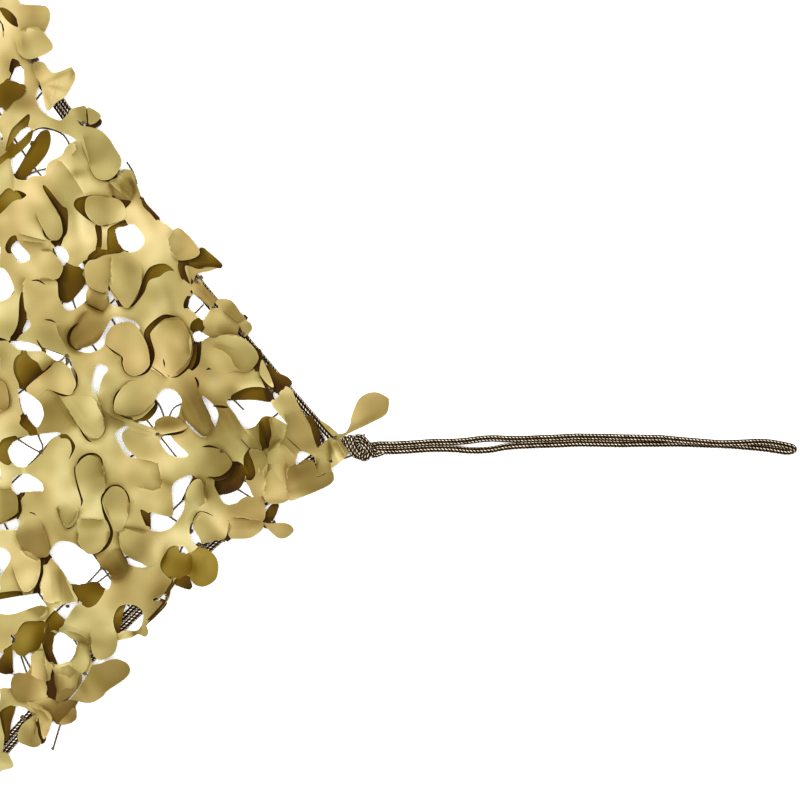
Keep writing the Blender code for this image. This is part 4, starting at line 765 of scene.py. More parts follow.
# ---- ropes and twine: a braid built round a path ----
def braid_tree():
    """Geometry Nodes: rings of picks along a path, every second pick standing proud."""
    tree = bpy.data.node_groups.new("braid_along_path", "GeometryNodeTree")
    add = partial(add_node, tree)
    face = tree.interface
    face.new_socket("Path", in_out="INPUT", socket_type="NodeSocketGeometry")
    for name, kind, value in (("Pick length", "NodeSocketFloat", BRAID_RING),
                              ("Diameter", "NodeSocketFloat", BRAID_CORE),
                              ("Picks round", "NodeSocketInt", BRAID_AROUND),
                              ("Relief", "NodeSocketFloat", BRAID_RELIEF),
                              ("Twist", "NodeSocketInt", 1), ("First pick", "NodeSocketInt", 0)):
        face.new_socket(name, in_out="INPUT", socket_type=kind).default_value = value
    face.new_socket("Finish", in_out="INPUT", socket_type="NodeSocketMaterial")
    face.new_socket("Rope", in_out="OUTPUT", socket_type="NodeSocketGeometry")
    given = add("NodeGroupInput").outputs
    even = add("GeometryNodeResampleCurve", {"mode": "LENGTH"},
               {"Curve": given["Path"], "Length": given["Pick length"]})
    count = add("GeometryNodeInputIndex")
    rings = add("GeometryNodeCaptureAttribute", {"domain": "POINT"})
    rings.capture_items.new("INT", "ring")
    tree.links.new(even.outputs["Curve"], rings.inputs["Geometry"])
    tree.links.new(count.outputs[0], rings.inputs["ring"])
    radius = add("ShaderNodeMath", {"operation": "MULTIPLY"}, {0: given["Diameter"], 1: 0.5})
    girth = add("GeometryNodeCurvePrimitiveCircle", None,
                {"Resolution": given["Picks round"], "Radius": radius})
    around = add("GeometryNodeCaptureAttribute", {"domain": "POINT"})
    around.capture_items.new("INT", "pick")
    tree.links.new(girth.outputs["Curve"], around.inputs["Geometry"])
    tree.links.new(count.outputs[0], around.inputs["pick"])
    tube = add("GeometryNodeCurveToMesh", None,
               {"Curve": rings, "Profile Curve": around, "Fill Caps": True})
    turned = add("ShaderNodeMath", {"operation": "MULTIPLY_ADD"},
                 {0: rings.outputs["ring"], 1: given["Twist"], 2: around.outputs["pick"]})
    odd = add("ShaderNodeMath", {"operation": "FLOORED_MODULO"}, {0: turned, 1: 2.0})
    reach = add("ShaderNodeMath", {"operation": "MULTIPLY_ADD"},
                {0: odd, 1: given["Relief"], 2: 0.0})
    way = add("GeometryNodeInputNormal")
    push = add("ShaderNodeVectorMath", {"operation": "SCALE"}, {0: way, "Scale": reach})
    proud = add("GeometryNodeSetPosition", None, {"Geometry": tube, "Offset": push})
    bead = add("GeometryNodeStoreNamedAttribute",
               {"data_type": "FLOAT", "domain": "POINT"},
               {"Geometry": proud, "Name": "bead", "Value": odd})
    # cream crowns every third pick, in rows that follow the path, and leans beside it: partly
    # pale yarn, partly a painted highlight on the glossy picks
    set_off = add("ShaderNodeMath", {"operation": "ADD"},
                  {0: around.outputs["pick"], 1: given["First pick"]})
    band = add("ShaderNodeMath", {"operation": "FLOORED_MODULO"}, {0: set_off, 1: 3.0})
    off = add("ShaderNodeMath", {"operation": "SUBTRACT"}, {0: band, 1: 1.0})
    aside = add("ShaderNodeMath", {"operation": "ABSOLUTE"}, {0: off})
    cream_and_highlight = add("ShaderNodeMath", {"operation": "MULTIPLY_ADD", "use_clamp": True},
                {0: aside, 1: -0.8, 2: 1.0})
    row = add("GeometryNodeStoreNamedAttribute",
              {"data_type": "FLOAT", "domain": "POINT"},
              {"Geometry": bead, "Name": "row", "Value": cream_and_highlight})
    real = add("GeometryNodeRealizeInstances", None, {"Geometry": row})
    done = add("GeometryNodeSetMaterial", None, {"Geometry": real, "Material": given["Finish"]})
    leave = add("NodeGroupOutput")
    tree.links.new(done.outputs["Geometry"], leave.inputs["Rope"])
    return tree


BRAID = braid_tree()


def add_piece(name, data):
    made = bpy.data.objects.new(name, data)
    bpy.context.scene.collection.objects.link(made)
    return made


def braided(name, paths, closed, finish, **inputs):
    """A plain mesh: the braid run along each path."""
    curve = bpy.data.curves.new(name + "_path", "CURVE")
    curve.dimensions = "3D"
    curve.twist_mode = "MINIMUM"
    for path in paths:
        spline = curve.splines.new("POLY")
        spline.points.add(len(path) - 1)
        spline.use_cyclic_u = closed
        for spot, point in zip(path, spline.points):
            point.co = (*spot, 1.0)
    guide = add_piece(name + "_path", curve)
    braid = guide.modifiers.new("braid", "NODES")
    braid.node_group = BRAID
    sockets = {item.name: item.identifier for item in BRAID.interface.items_tree
               if item.in_out == "INPUT"}
    braid[sockets["Finish"]] = finish
    for key, value in inputs.items():
        braid[sockets[key.replace("_", " ")]] = value
    view = bpy.context.evaluated_depsgraph_get()
    data = bpy.data.meshes.new_from_object(guide.evaluated_get(view))
    guide.modifiers.remove(braid)
    bpy.data.objects.remove(guide, do_unlink=True)
    bpy.data.curves.remove(curve)
    data.name = name
    if finish.name not in data.materials:
        data.materials.clear()
        data.materials.append(finish)
    data.shade_smooth()
    return add_piece(name, data)


def curve_point(before, start, end, after, t):
    """A point of the smooth curve through four points, between the middle two."""
    return 0.5 * (2 * start + (end - before) * t
                  + (2 * before - 5 * start + 4 * end - after) * t * t
                  + (3 * start - before - 3 * end + after) * t * t * t)


def smooth_route(points, count):
    """Evenly spaced points on a smooth curve through a route."""
    route = [points[0] * 2 - points[1], *points, points[-1] * 2 - points[-2]]
    fine = []
    for a, b, c, d in zip(route, route[1:], route[2:], route[3:]):
        fine += [curve_point(a, b, c, d, step / 16) for step in range(16)]
    fine.append(Vector(points[-1]))
    lengths = [0.0]
    for a, b in zip(fine, fine[1:]):
        lengths.append(lengths[-1] + (b - a).length)
    picked = []
    at = 0
    for step in range(count):
        want = lengths[-1] * step / (count - 1)
        while at < len(lengths) - 2 and lengths[at + 1] < want:
            at += 1
        span = lengths[at + 1] - lengths[at]
        picked.append(fine[at].lerp(fine[at + 1], (want - lengths[at]) / span))
    return picked


def route_length(points):
    return sum((b - a).length for a, b in zip(points, points[1:]))


def loop_route():
    """The loop from the knot and back: along and across in ribs, height in millimetres."""
    stations = [LOOP_FIRST + LOOP_STEP * number for number in range(len(LOOP_OUT))]
    heights = [LOOP_REST] * (len(LOOP_OUT) - len(LOOP_CLIMB)) + LOOP_CLIMB
    back = [(along, across, LOOP_REST) for along, across in zip(stations[::-1], LOOP_BACK)]
    return [LOOP_LEAVES, *zip(stations, LOOP_OUT, heights), *LOOP_TURN, *back, LOOP_RETURNS]


def seat(piece, node=None):
    """Let a piece ride on the panel in place of the node it stands for, and hide that node."""
    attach(piece, BODY)
    if node:
        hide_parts(node)


def lay_loop():
    """The long bight of rope that lies free from the knot."""
    points = [Vector((CORNER[0] + along * RIB, CORNER[1] + across * RIB, height * 0.001))
              for along, across, height in loop_route()]
    path = smooth_route(points, LOOP_POINTS)
    loop = braided("corner_loop_braid", [path], False, ROPE_FINISH, First_pick=1)
    seat(loop, "corner_loop")
    round(route_length(path), 4)


lay_loop()


def smoothstep(low, high, value):
    """0 below the low value, 1 above the high one, and a smooth rise between."""
    t = min(1.0, max(0.0, (value - low) / (high - low)))
    return t * t * (3.0 - 2.0 * t)


TIED = Vector(CORNER)
TOP = TIED + rot((SIDE, 0.0), UPPER_SIDE)
LOW = TIED + rot((SIDE, 0.0), LOWER_SIDE)
FAR = TOP + LOW - TIED
SIDES = {   # each side runs counter-clockwise round the panel
    "upper": (TIED, TOP), "far_upper": (TOP, FAR), "far_lower": (FAR, LOW), "lower": (LOW, TIED),
}


def side_ways(side):
    """The way along a side, and the way out of the panel across it."""
    start, end = SIDES[side]
    along = (end - start).normalized()
    return along, Vector((along.y, -along.x))


def side_bow(side, share):
    """How far a side's rope bends inwards at a share of it."""
    return BOWS[side] * 4.0 * share * (1.0 - share)


def side_point(side, share, out):
    """A point at a share of a side, this far outside the bowed rope line."""
    start, end = SIDES[side]
    return start.lerp(end, share) + side_ways(side)[1] * (out - side_bow(side, share))


def rope_side(side, out):
    """The rope line along a side, without its turns."""
    return [side_point(side, ROPE_TURN + (1.0 - 2.0 * ROPE_TURN) * step / SIDE_SPANS, out)
            for step in range(SIDE_SPANS + 1)]


def rope_turn(before, after):
    """A rounded turn between the ends of two sides, each a list of points."""
    start, end = before[-1], after[0]
    along_in = (before[-1] - before[-2]).normalized()
    along_out = (after[0] - after[1]).normalized()
    across = along_in.x * along_out.y - along_in.y * along_out.x
    gap = end - start
    reach = (gap.x * along_out.y - gap.y * along_out.x) / across
    corner = start + along_in * reach
    turn = []
    for step in range(1, TURN_SPANS):
        t = step / TURN_SPANS
        turn.append(start * (1 - t) ** 2 + corner * 2 * t * (1 - t) + end * t ** 2)
    return turn


def rope_round(out, shut):
    """The rope line round the panel, from the tied corner back to it."""
    sides = [rope_side(side, out) for side in SIDES]
    route = []
    for number, points in enumerate(sides):
        if number > 0:
            route += rope_turn(sides[number - 1], points)
        route += points
    if shut:
        route += rope_turn(sides[-1], sides[0])
    return [Vector((*point, ROPE_REST)) for point in route]


def lay_ropes():
    """Two runs of rope side by side: the outer one ends at the knot, the inner one is shut."""
    corner = Vector((*TIED, ROPE_REST))
    half = (ROPE_D + GAP) * 0.5
    ends = [corner + Vector((ROPE_ENDS + 0.002, side * half, 0.0)) for side in (1, -1)]
    leads = [corner + Vector((ROPE_ENDS - 0.007, side * half * 1.5, 0.0)) for side in (1, -1)]
    outer = [ends[0], leads[0], *rope_round(-ROPE_INSET, False), leads[1], ends[1]]
    inner = rope_round(-ROPE_INSET - ROPE_D - GAP, True)
    runs = (("border_rope_outer", smooth_route(outer, BORDER_POINTS), False),
            ("border_rope_inner", smooth_route(inner + inner[:1], BORDER_POINTS)[:-1], True))
    for node, path, closed in runs:
        seat(braided(node + "_braid", [path], closed, ROPE_FINISH), node)


lay_ropes()


# ---- knot of the tied corner ----
# Doubled overhand knot drawn tight: each run that shows, as cells and heights in millimetres.
KNOT_RUNS = [
    [(352, 447, 3.0), (346, 442, 4.4), (345, 438.5, 6.2), (347, 441, 8.4), (349, 446, 9.4),
     (352, 451.5, 8.8), (356, 455.5, 7.0), (361, 457, 4.6), (364, 455, 3.0)],
    [(356, 450, 3.4), (350, 442, 4.6), (350, 437.2, 7.2), (352.5, 440, 9.6),
     (354.5, 445.5, 10.4), (357.5, 450.5, 9.6), (361, 454.5, 7.0), (362, 452, 4.0)],
    [(350, 446, 3.0), (351.5, 440, 4.4), (355, 437.4, 6.4), (360.5, 437.2, 7.6),
     (365.4, 440.6, 7.8), (368.6, 446, 6.8), (370.6, 451, 5.0), (371, 454, 3.0)],
    [(354, 449, 5.0), (356.5, 443.4, 8.2), (361, 442.4, 10.2), (365.6, 446, 10.2),
     (368.8, 450.4, 8.8), (371.6, 454, 6.8), (375.4, 454.8, 4.2), (384, 451.6, 2.9)],
    [(366, 441, 6.0), (363.5, 447, 9.6), (362.2, 452.5, 9.8), (362, 457, 7.4),
     (364.5, 458.6, 4.6), (368, 455, 3.0)],
    [(371, 444, 4.0), (368.8, 450.4, 6.4), (367.6, 454.6, 8.6), (366.6, 458, 6.6),
     (362, 457.4, 3.2)],
    [(356, 452, 3.2), (362, 448.4, 4.4), (370, 445.6, 4.2), (377, 444.5, 3.0),
     (385, 444.7, 2.7)],
    [(362, 450, 3.0), (368, 449.6, 2.8), (375, 450.2, 2.7), (382, 450.7, 2.7)],
]
# Cut ends of the twine that whips the knot.
KNOT_STUBS = [
    [(360, 443, 8.0), (362.5, 439, 9.0), (364.6, 434.2, 8.0)],
    [(357, 453.5, 4.0), (350, 456.2, 2.4), (344, 458.4, 1.2)],
    [(346, 433, 6.4), (339, 436.5, 6.6), (335, 435.5, 5.8)],
]


def knot_path(row, count):
    """A smooth route through cells with their heights in millimetres."""
    points = [Vector((*cell(column, line), height * 0.001)) for column, line, height in row]
    return smooth_route(points, count)


def tie_knot():
    """The doubled overhand knot and its twine ends."""
    knot = braided("corner_knot_braid", [knot_path(row, 40) for row in KNOT_RUNS], False,
                   ROPE_FINISH, Diameter=BRAID_CORE * KNOT_SQUEEZE)
    seat(knot, "corner_knot")
    ends = braided("corner_knot_twine", [knot_path(row, 14) for row in KNOT_STUBS], False,
                   TWINE_FINISH, **TWINE_BRAID)
    seat(ends)


tie_knot()


# ---- twine mesh and its border ties ----
def mesh_knot(i, j):
    """A knot of the twine mesh: i cells along the upper side, j along the lower side."""
    if (i, j) in MESH_SHIFTS:
        return cell(*MESH_SHIFTS[(i, j)])
    u = i / MESH_CELLS
    v = j / MESH_CELLS
    point = TIED + (TOP - TIED) * u + (LOW - TIED) * v
    for side, share, reach in (("upper", u, 1 - v), ("lower", 1 - v, 1 - u),
                               ("far_upper", v, u), ("far_lower", 1 - u, v)):
        point -= side_ways(side)[1] * BOWS[side] * 4.0 * share * (1.0 - share) * reach
    return point


def mesh_ends():
    """Where the mesh's strands meet the inner rope."""
    ends = {}
    inset = ROPE_INSET + ROPE_D * 1.5 + GAP * 2.5
    for k in range(1, MESH_CELLS):
        share = k / MESH_CELLS
        ends[(k, 0)] = side_point("upper", share, -inset)
        ends[(k, MESH_CELLS)] = side_point("far_lower", 1 - share, -inset)
        ends[(0, k)] = side_point("lower", 1 - share, -inset)
        ends[(MESH_CELLS, k)] = side_point("far_upper", share, -inset)
    return ends


def lay_mesh():
    """The twine mesh: slack strands from knot to knot, each knot a lump of turns."""
    random.seed(11)
    ends = mesh_ends()
    inner = range(1, MESH_CELLS)
    spots = {(i, j): mesh_knot(i, j) for i in inner for j in inner}
    spots.update(ends)
    paths = []
    for (i, j), spot in spots.items():
        for other in ((i + 1, j), (i, j + 1)):
            if other not in spots or (spot - spots[other]).length < 0.01:
                continue
            if (i, j) in ends and other in ends:
                continue
            end = spots[other]
            side = rot((end - spot).normalized(), 90.0)
            slack = random.uniform(-0.0022, 0.0022)
            path = []
            for step in range(9):
                t = step / 8
                place = spot.lerp(end, t) + side * slack * math.sin(math.pi * t)
                place += side * 0.0005 * math.sin(5.0 * t + slack * 900.0)
                path.append(Vector((*place, MESH_LIE)))
            paths.append(path)
    for i in inner:
        for j in inner:
            middle = spots[(i, j)]
            turn = random.uniform(0.0, 6.28)
            knot = []
            for step in range(14):
                angle = turn + 2.0 * math.pi * step / 14 * 2.0
                radius = 0.0010 + 0.0005 * math.cos(3.0 * math.pi * step / 7)
                knot.append(Vector((middle.x + radius * math.cos(angle),
                                    middle.y + radius * math.sin(angle),
                                    0.0014 + 0.0007 * math.sin(3.0 * math.pi * step / 7))))
            paths.append(knot)
    for row in TWINE_RUNS:
        points = [Vector((*place, RUN_LIE)) for place in laid(row)]
        paths.append(smooth_route(points, max(6, 4 * len(points))))
    for column, line, size, height in TANGLES:
        for turn in range(4):
            middle = Vector((*cell(column, line), 0.001 * height + 0.0004 * turn))
            start, lean = random.uniform(0.0, 6.28), random.uniform(0.4, 1.0)
            loop = []
            for step in range(9):
                angle = start + 5.2 * step / 8
                reach = size * RIB * (0.35 + 0.5 * random.random())
                loop.append(middle + Vector((reach * math.cos(angle),
                                             reach * lean * math.sin(angle),
                                             0.0006 * math.sin(2.0 * angle + turn))))
            paths.append(smooth_route(loop, 18))
    net = braided("twine_mesh_strands", paths, False, TWINE_FINISH, **TWINE_BRAID)
    seat(net, "twine_mesh")


lay_mesh()


def lay_ties():
    """Twine lashings over both ropes: turns side by side, tucked in under the ropes."""
    random.seed(23)
    for side in SIDES:
        along, outward = side_ways(side)
        for number, share in enumerate(TIE_SHARES[side], 1):
            middle = side_point(side, share, 0.0)
            paths = []
            for turn in (-1, 0, 1):
                lean = random.uniform(-0.0004, 0.0004)
                path = []
                for out, height in ((-0.0112, 0.0006), (-0.0118, 0.0025), (-0.0106, 0.0050),
                                    (-0.0080, 0.0058), (-0.0055, 0.0052), (-0.0030, 0.0058),
                                    (-0.0004, 0.0050), (0.0008, 0.0025), (0.0002, 0.0006)):
                    shift = turn * TWINE_D * 0.85 + lean * (height * 300.0)
                    spot = middle + outward * out + along * shift
                    path.append(Vector((*spot, height)))
                paths.append(smooth_route(path, 20))
            tie = braided(f"border_lashing_{side}_{number}", paths, False, TWINE_FINISH,
                          **LASHING_BRAID)
            seat(tie, f"border_tie_{side}_{number}")


lay_ties()


# ---- the incised cloth ----
def inside_depth(point):
    """How far a point lies inside the rope line (negative outside)."""
    depth = 1.0
    for side, (start, _) in SIDES.items():
        along, outward = SIDE_WAYS[side]
        share = min(1.0, max(0.0, (point - start).dot(along) / SIDE))
        depth = min(depth, -(point - start).dot(outward) - side_bow(side, share))
    return depth


SIDE_WAYS = {side: side_ways(side) for side in SIDES}


class Swells:
    """Soft oval swells laid out as rows: middle, length and width in ribs, turn, amount."""

    def __init__(self, rows, size):
        self.ovals = []
        for column, row, length, width, turn, amount in rows:
            c, s = math.cos(math.radians(turn)), math.sin(math.radians(turn))
            self.ovals.append((cell(column, row), c, s, length * RIB * size,
                               width * RIB * size, max(length, width) * RIB * size * 2.2,
                               amount))

    def at(self, point):
        total = 0.0
        for middle, c, s, length, width, reach, amount in self.ovals:
            x, y = point.x - middle.x, point.y - middle.y
            if abs(x) < reach and abs(y) < reach:
                total += amount * math.exp(-((x * c + y * s) / length) ** 2
                                           - ((y * c - x * s) / width) ** 2)
        return total


RUMPLED = Swells(RUMPLES, 0.5)
PAINTED_SHADING = Swells(PAINTED_SHADES, 0.5)


def nearest(point, start, span):
    """The share of a span that lies nearest to a point, and the way from there to it."""
    share = min(1.0, max(0.0, (point - start).dot(span) / span.length_squared))
    return share, point - start - span * share


def rippled(point, rate, layer):
    """Smooth noise over the panel, at a rate a metre; each use has its own layer."""
    return noise.noise(Vector((point.x * rate, point.y * rate, layer)))


def fold_rise(point):
    """Sum of the ridges and troughs at a point, in millimetres."""
    total = 0.0
    for (*_, half, rise), start, end in FOLD_LINES:
        share, way = nearest(point, start, end - start)
        away = way.length / (half * RIB)
        if away < 2.6:
            total += rise * math.exp(-away * away) * (0.35 + 2.6 * share * (1.0 - share))
    return total


FOLD_LINES = [(row, cell(*row[:2]), cell(*row[2:4])) for row in FOLDS]
CINCH_SPOTS = [mesh_knot(*knot) for knot in CINCHES]


def box_round(points, wide=0.0):
    """The bounds of plane points, a little widened."""
    xs, ys = [p.x for p in points], [p.y for p in points]
    return min(xs) - wide, min(ys) - wide, max(xs) + wide, max(ys) + wide


def in_box(point, box):
    return box[0] < point.x < box[2] and box[1] < point.y < box[3]


class FlapLine:
    """The line of a flap that lies flat on the cloth: a small step down, painted shade below it
    and a faint painted highlight just above it.
    """

    def __init__(self, amount, reach, step, *row):
        self.amount, self.reach, self.step = amount, reach * RIB, step * 0.001
        self.route = laid(row)
        self.box = box_round(self.route, 2.6 * self.reach)
        self.length = route_length(self.route)

    def at(self, point):
        if not in_box(point, self.box):
            return 0.0, 0.0
        near, side, along, run = 9.0, 1.0, 0.0, 0.0
        for start, end in zip(self.route, self.route[1:]):
            span = end - start
            share, away = nearest(point, start, span)
            if away.length < near:
                near, along = away.length, run + share * span.length
                side = span.x * (point.y - start.y) - span.y * (point.x - start.x)
            run += span.length
        ends = min(1.0, along / (0.14 * self.length), (self.length - along) / (0.14 * self.length))
        fade = ends * math.exp(-near / self.reach)
        if side < 0.0:
            return self.amount * fade, -self.step * fade
        return -0.12 * ends * math.exp(-near / 0.0012), self.step * ends * math.exp(-near / 0.004)


FLAP_LINES = [FlapLine(*row) for row in STEPS]


def flap_lines(point):
    """What the flap lines add at a point: painted shade and highlight, and height."""
    tone = height = 0.0
    for line in FLAP_LINES:
        more_tone, more_height = line.at(point)
        tone += more_tone
        height += more_height
    return tone, height


def held(tone):
    """A tone kept out of the deepest shades, which belong to the gaps alone."""
    return min(1.0, max(0.0, tone if tone < 0.55 else 0.55 + 0.5 * (tone - 0.55)))


def edge_share(point):
    """1 over the border ropes, 0 well inside them."""
    return 1.0 - smoothstep(EDGE_NEAR, EDGE_FAR, inside_depth(point))


def sheet_height(point):
    """Height of the middle of the sheet where no lobe is bent."""
    height = CLOTH_HEIGHT + 0.001 * RUMPLED.at(point)
    height += 0.0026 * rippled(point, 34.0, 2.0)
    height += 0.0007 * rippled(point, 95.0, 5.0)
    height += flap_lines(point)[1]
    for spot in CINCH_SPOTS:
        away = point - spot
        reach = away.length / CINCH_REACH
        height = CINCH_HEIGHT + (height - CINCH_HEIGHT) * (1.0 - math.exp(-reach * reach))
        pleat = math.sin(9.0 * math.atan2(away.y, away.x) + spot.x * 400.0)
        height += 0.0006 * pleat * reach * math.exp(-reach * reach * 1.6)
    near = edge_share(point)
    low = EDGE_HEIGHT + EDGE_SWAY * rippled(point, 60.0, 7.0)
    return height + (low - height) * near + 0.001 * fold_rise(point)


def back_floor(point):
    """The lowest that a hanging back may lie: over the ropes near the edge."""
    return 0.0028 + 0.0034 * (1.0 - smoothstep(0.013, 0.022, inside_depth(point)))


def lowest_height(point):
    """The lowest that a bent lobe may lie."""
    return CINCH_HEIGHT + (EDGE_HEIGHT - EDGE_SWAY - CINCH_HEIGHT) * edge_share(point)


def smooth_ring(spots, step):
    """Even points on a smooth closed line; a doubled spot is a corner."""
    count = len(spots)
    ring = []
    for index in range(count):
        before, start = spots[index - 1], spots[index]
        end, after = spots[(index + 1) % count], spots[(index + 2) % count]
        span = (end - start).length
        if span < 1e-7:
            continue
        if (before - start).length < 1e-7:
            before = start * 2 - end
        if (after - end).length < 1e-7:
            after = end * 2 - start
        steps = max(1, round(span / step))
        ring += [curve_point(before, start, end, after, part / steps) for part in range(steps)]
    return ring


def in_polygon(point, polygon):
    """Whether a plane point lies inside a closed line: it crosses the line an odd number of
    times on its way out."""
    inside = False
    for a, b in zip(polygon, polygon[1:] + polygon[:1]):
        if (a.y > point.y) != (b.y > point.y):
            if point.x < (b.x - a.x) * (point.y - a.y) / (b.y - a.y) + a.x:
                inside = not inside
    return inside


def signed_area(polygon):
    return 0.5 * sum(a.x * b.y - b.x * a.y for a, b in zip(polygon, polygon[1:] + polygon[:1]))


def grown(polygon, reach):
    """A ring moved outwards by a small reach."""
    sign = 1.0 if signed_area(polygon) > 0 else -1.0
    moved = []
    for index, point in enumerate(polygon):
        along = (polygon[(index + 1) % len(polygon)] - polygon[index - 1]).normalized()
        moved.append(point + Vector((along.y, -along.x)) * sign * reach)
    return moved


def tree_of(points):
    """Plane points laid out to find the nearest one."""
    tree = kdtree.KDTree(len(points))
    for index, point in enumerate(points):
        tree.insert((point.x, point.y, 0.0), index)
    tree.balance()
    return tree


class Ring:
    """A closed line with its bounds, to ask what lies inside it."""

    def __init__(self, points):
        self.points, self.box = points, box_round(points)

    def holds(self, point):
        return in_box(point, self.box) and in_polygon(point, self.points)


def cut_out(outline, openings, spacing, left_spacing=None, beside=()):
    """Plane points and triangles of a piece inside its outline and outside its openings."""
    points, edges = [], []
    for ring in (outline, *openings):
        first, count = len(points), len(ring)
        edges += [(first + i, first + (i + 1) % count) for i in range(count)]
        points += ring
    tree = tree_of(points)
    low = Vector((min(p.x for p in outline), min(p.y for p in outline)))
    high = Vector((max(p.x for p in outline), max(p.y for p in outline)))
    for spot in (*FOLD_POINTS, *beside):
        if low.x < spot.x < high.x and low.y < spot.y < high.y:
            if tree.find((spot.x, spot.y, 0.0))[2] > 0.0006:
                points.append(spot)
    edge = cell(-14, 0).x
    for pitch, first, last in ((spacing, edge, 9.0), (left_spacing or spacing, -9.0, edge)):
        start, end = max(low.x, first), min(high.x, last)
        if end <= start:
            continue
        line = pitch * 0.866
        for row in range(int((high.y - low.y) / line) + 1):
            for column in range(int((end - start) / pitch) + 1):
                spot = Vector((start + (column + 0.5 * (row % 2)) * pitch, low.y + row * line))
                if tree.find((spot.x, spot.y, 0.0))[2] > pitch * 0.6:
                    points.append(spot)
    flat, _, triangles, _, _, _ = delaunay_2d_cdt(points, edges, [], 0, 1e-6, True)
    whole, *cuts = [Ring(ring) for ring in (outline, *openings)]
    kept = []
    for triangle in triangles:
        middle = (flat[triangle[0]] + flat[triangle[1]] + flat[triangle[2]]) / 3.0
        if whole.holds(middle) and not any(cut.holds(middle) for cut in cuts):
            kept.append(triangle)
    return flat, kept


def fold_points():
    """Closer points beside each fold, so that the sheet can follow it."""
    spots = []
    for (_, _, _, _, half, _), start, end in FOLD_LINES:
        span = end - start
        side = rot(span.normalized(), 90.0) * half * RIB
        steps = max(2, round(span.length / 0.0015))
        for step in range(steps + 1):
            for across in (-1.9, -1.2, -0.6, 0.0, 0.6, 1.2, 1.9):
                spots.append(start + span * (step / steps) + side * across)
    for line in FLAP_LINES:
        for start, end in zip(line.route, line.route[1:]):
            side = rot((end - start).normalized(), 90.0)
            steps = max(1, round((end - start).length / 0.0014))
            for step in range(steps):
                for across in (-0.0012, -0.00013, 0.00013, 0.0012):
                    spots.append(start + (end - start) * (step / steps) + side * across)
    return spots


FOLD_POINTS = fold_points()


def sliver(width, row):
    """The outline of a slit that has drawn open a little: widest in its middle."""
    points = laid(row)
    route = smooth_route(points, max(6, round(route_length(points) / 0.0012)))
    left, right = [], []
    for index, point in enumerate(route):
        ahead, behind = route[min(index + 1, len(route) - 1)], route[max(index - 1, 0)]
        side = rot((ahead - behind).normalized(), 90.0)
        share = math.sin(math.pi * (index + 0.25) / (len(route) - 0.5)) ** 0.6
        half = 0.5 * width * RIB * max(0.12, share)
        left.append(point + side * half)
        right.append(point - side * half)
    return left + right[::-1]


def drawn_to(ring, tree, openings, reach):
    """A ring with its points taken over the nearest opening where they lie close to it."""
    moved = []
    for point in ring:
        near, _, away = tree.find((point.x, point.y, 0.0))
        if 0.00005 < away < reach and not any(opening.holds(point) for opening in openings):
            toward = Vector((near.x, near.y)) - point
            moved.append(point + toward * ((away + 0.0005) / away))
        else:
            moved.append(point)
    return moved


def arc(middle_x, half, top, rise, steps, flip):
    """Points over a rounded lobe end from its right side to its left."""
    points = []
    for step in range(steps):
        angle = math.pi * (step + 0.5) / steps
        points.append(Vector((flip * (middle_x + half * math.cos(angle)),
                              flip * (top - rise + rise * math.sin(angle)))))
    return points


class Lobe:
    """A tongue of cloth between its root line and its tip, bent up or down."""

    def __init__(self, root, axis, length, lift, ring):
        self.root, self.axis, self.length = root, axis, length
        self.lift = math.radians(lift)
        self.ring = Ring(ring)

    def place(self, point):
        reach = max(0.0, (point - self.root).dot(self.axis))
        if reach == 0.0:
            return Vector((point.x, point.y, sheet_height(point)))
        angle = self.lift * reach / self.length
        radius = self.length / self.lift
        moved = point + self.axis * (radius * math.sin(angle) - reach)
        height = sheet_height(moved) + radius * (1.0 - math.cos(angle))
        return Vector((moved.x, moved.y, max(height, lowest_height(moved))))


def s_cut(row, steps):
    """The opening of one S-shaped slit, and its two lobes, in plane metres."""
    column, line, turn = row[:3]
    stem = SLIT * 0.5
    middle = cell(column, line)
    opening, back, lobes = [], [], []
    for width, reach, gap, lift, flip in ((*row[3:7], 1), (*row[7:11], -1)):
        width, reach, gap = width * RIB, reach * RIB, gap * RIB
        rise = min(0.5 * reach, 0.6 * width)
        end = Vector((flip * width, flip * 0.35 * reach))
        outer = arc(width / 2 - stem / 2, width / 2 + stem / 2, reach, rise, steps, flip)
        inner = arc(width / 2 + gap / 4, width / 2 - SLIT - gap / 4, reach - SLIT - gap,
                    rise * 0.9, steps, flip)
        if flip > 0:
            opening += [end, *outer]
            back = inner[::-1]
        else:
            opening += [*inner[::-1], end, *outer, *back]
        ring = [middle + rot(p * 1.02, turn) for p in
                [Vector((flip * width, 0.0)), end, *inner, Vector((0.0, 0.0))]]
        lobes.append(Lobe(middle + rot((0.0, end.y), turn), rot((0.0, flip), turn),
                          reach * 0.65, lift, ring))
    return [middle + rot(p, turn) for p in opening], lobes


def lattice_cuts():
    """Rows for the regular slits beyond the shaped stretch."""
    random.seed(LATTICE_SEED)
    rows = []
    for drop in range(*LATTICE_ROWS):
        for step in range(*LATTICE_COLUMNS):
            column = LATTICE_START[0] + LATTICE_STEP[0] * step
            row = LATTICE_START[1] + LATTICE_STEP[1] * step + LATTICE_DROP * drop
            lifts = [random.choice(LATTICE_LIFTS), random.choice(LATTICE_LIFTS)]
            gaps = [random.choice((0, 1, 3)), random.choice((0, 1, 3))]
            turn = random.uniform(-8.0, 8.0)
            middle = cell(column, row)
            if column > LATTICE_LAST_COLUMN or inside_depth(middle) < 0.010:
                continue
            if max(lifts) > 100 and min(lifts) > 30:
                lifts[lifts.index(min(lifts))] = -20
            cut = (column, row, turn, 23, 33, gaps[0], lifts[0], 23, 33, gaps[1], lifts[1])
            opening = s_cut(cut, 3)[0]
            if min(inside_depth(point) for point in opening) > LATTICE_MARGIN:
                rows.append(cut)
    return rows


def scalloped(side, first, last, seed):
    """The sheet's edge along a plain side: leaves between its border ties."""
    random.seed(seed)
    points = []
    for index in range(first, last):
        for share, out in ((0.12, -0.004), (0.35, 0.006), (0.62, 0.009), (0.86, 0.001)):
            wander = random.uniform(-0.003, 0.004)
            points.append(side_point(side, (index + share) / MESH_CELLS, out + wander))
    return points


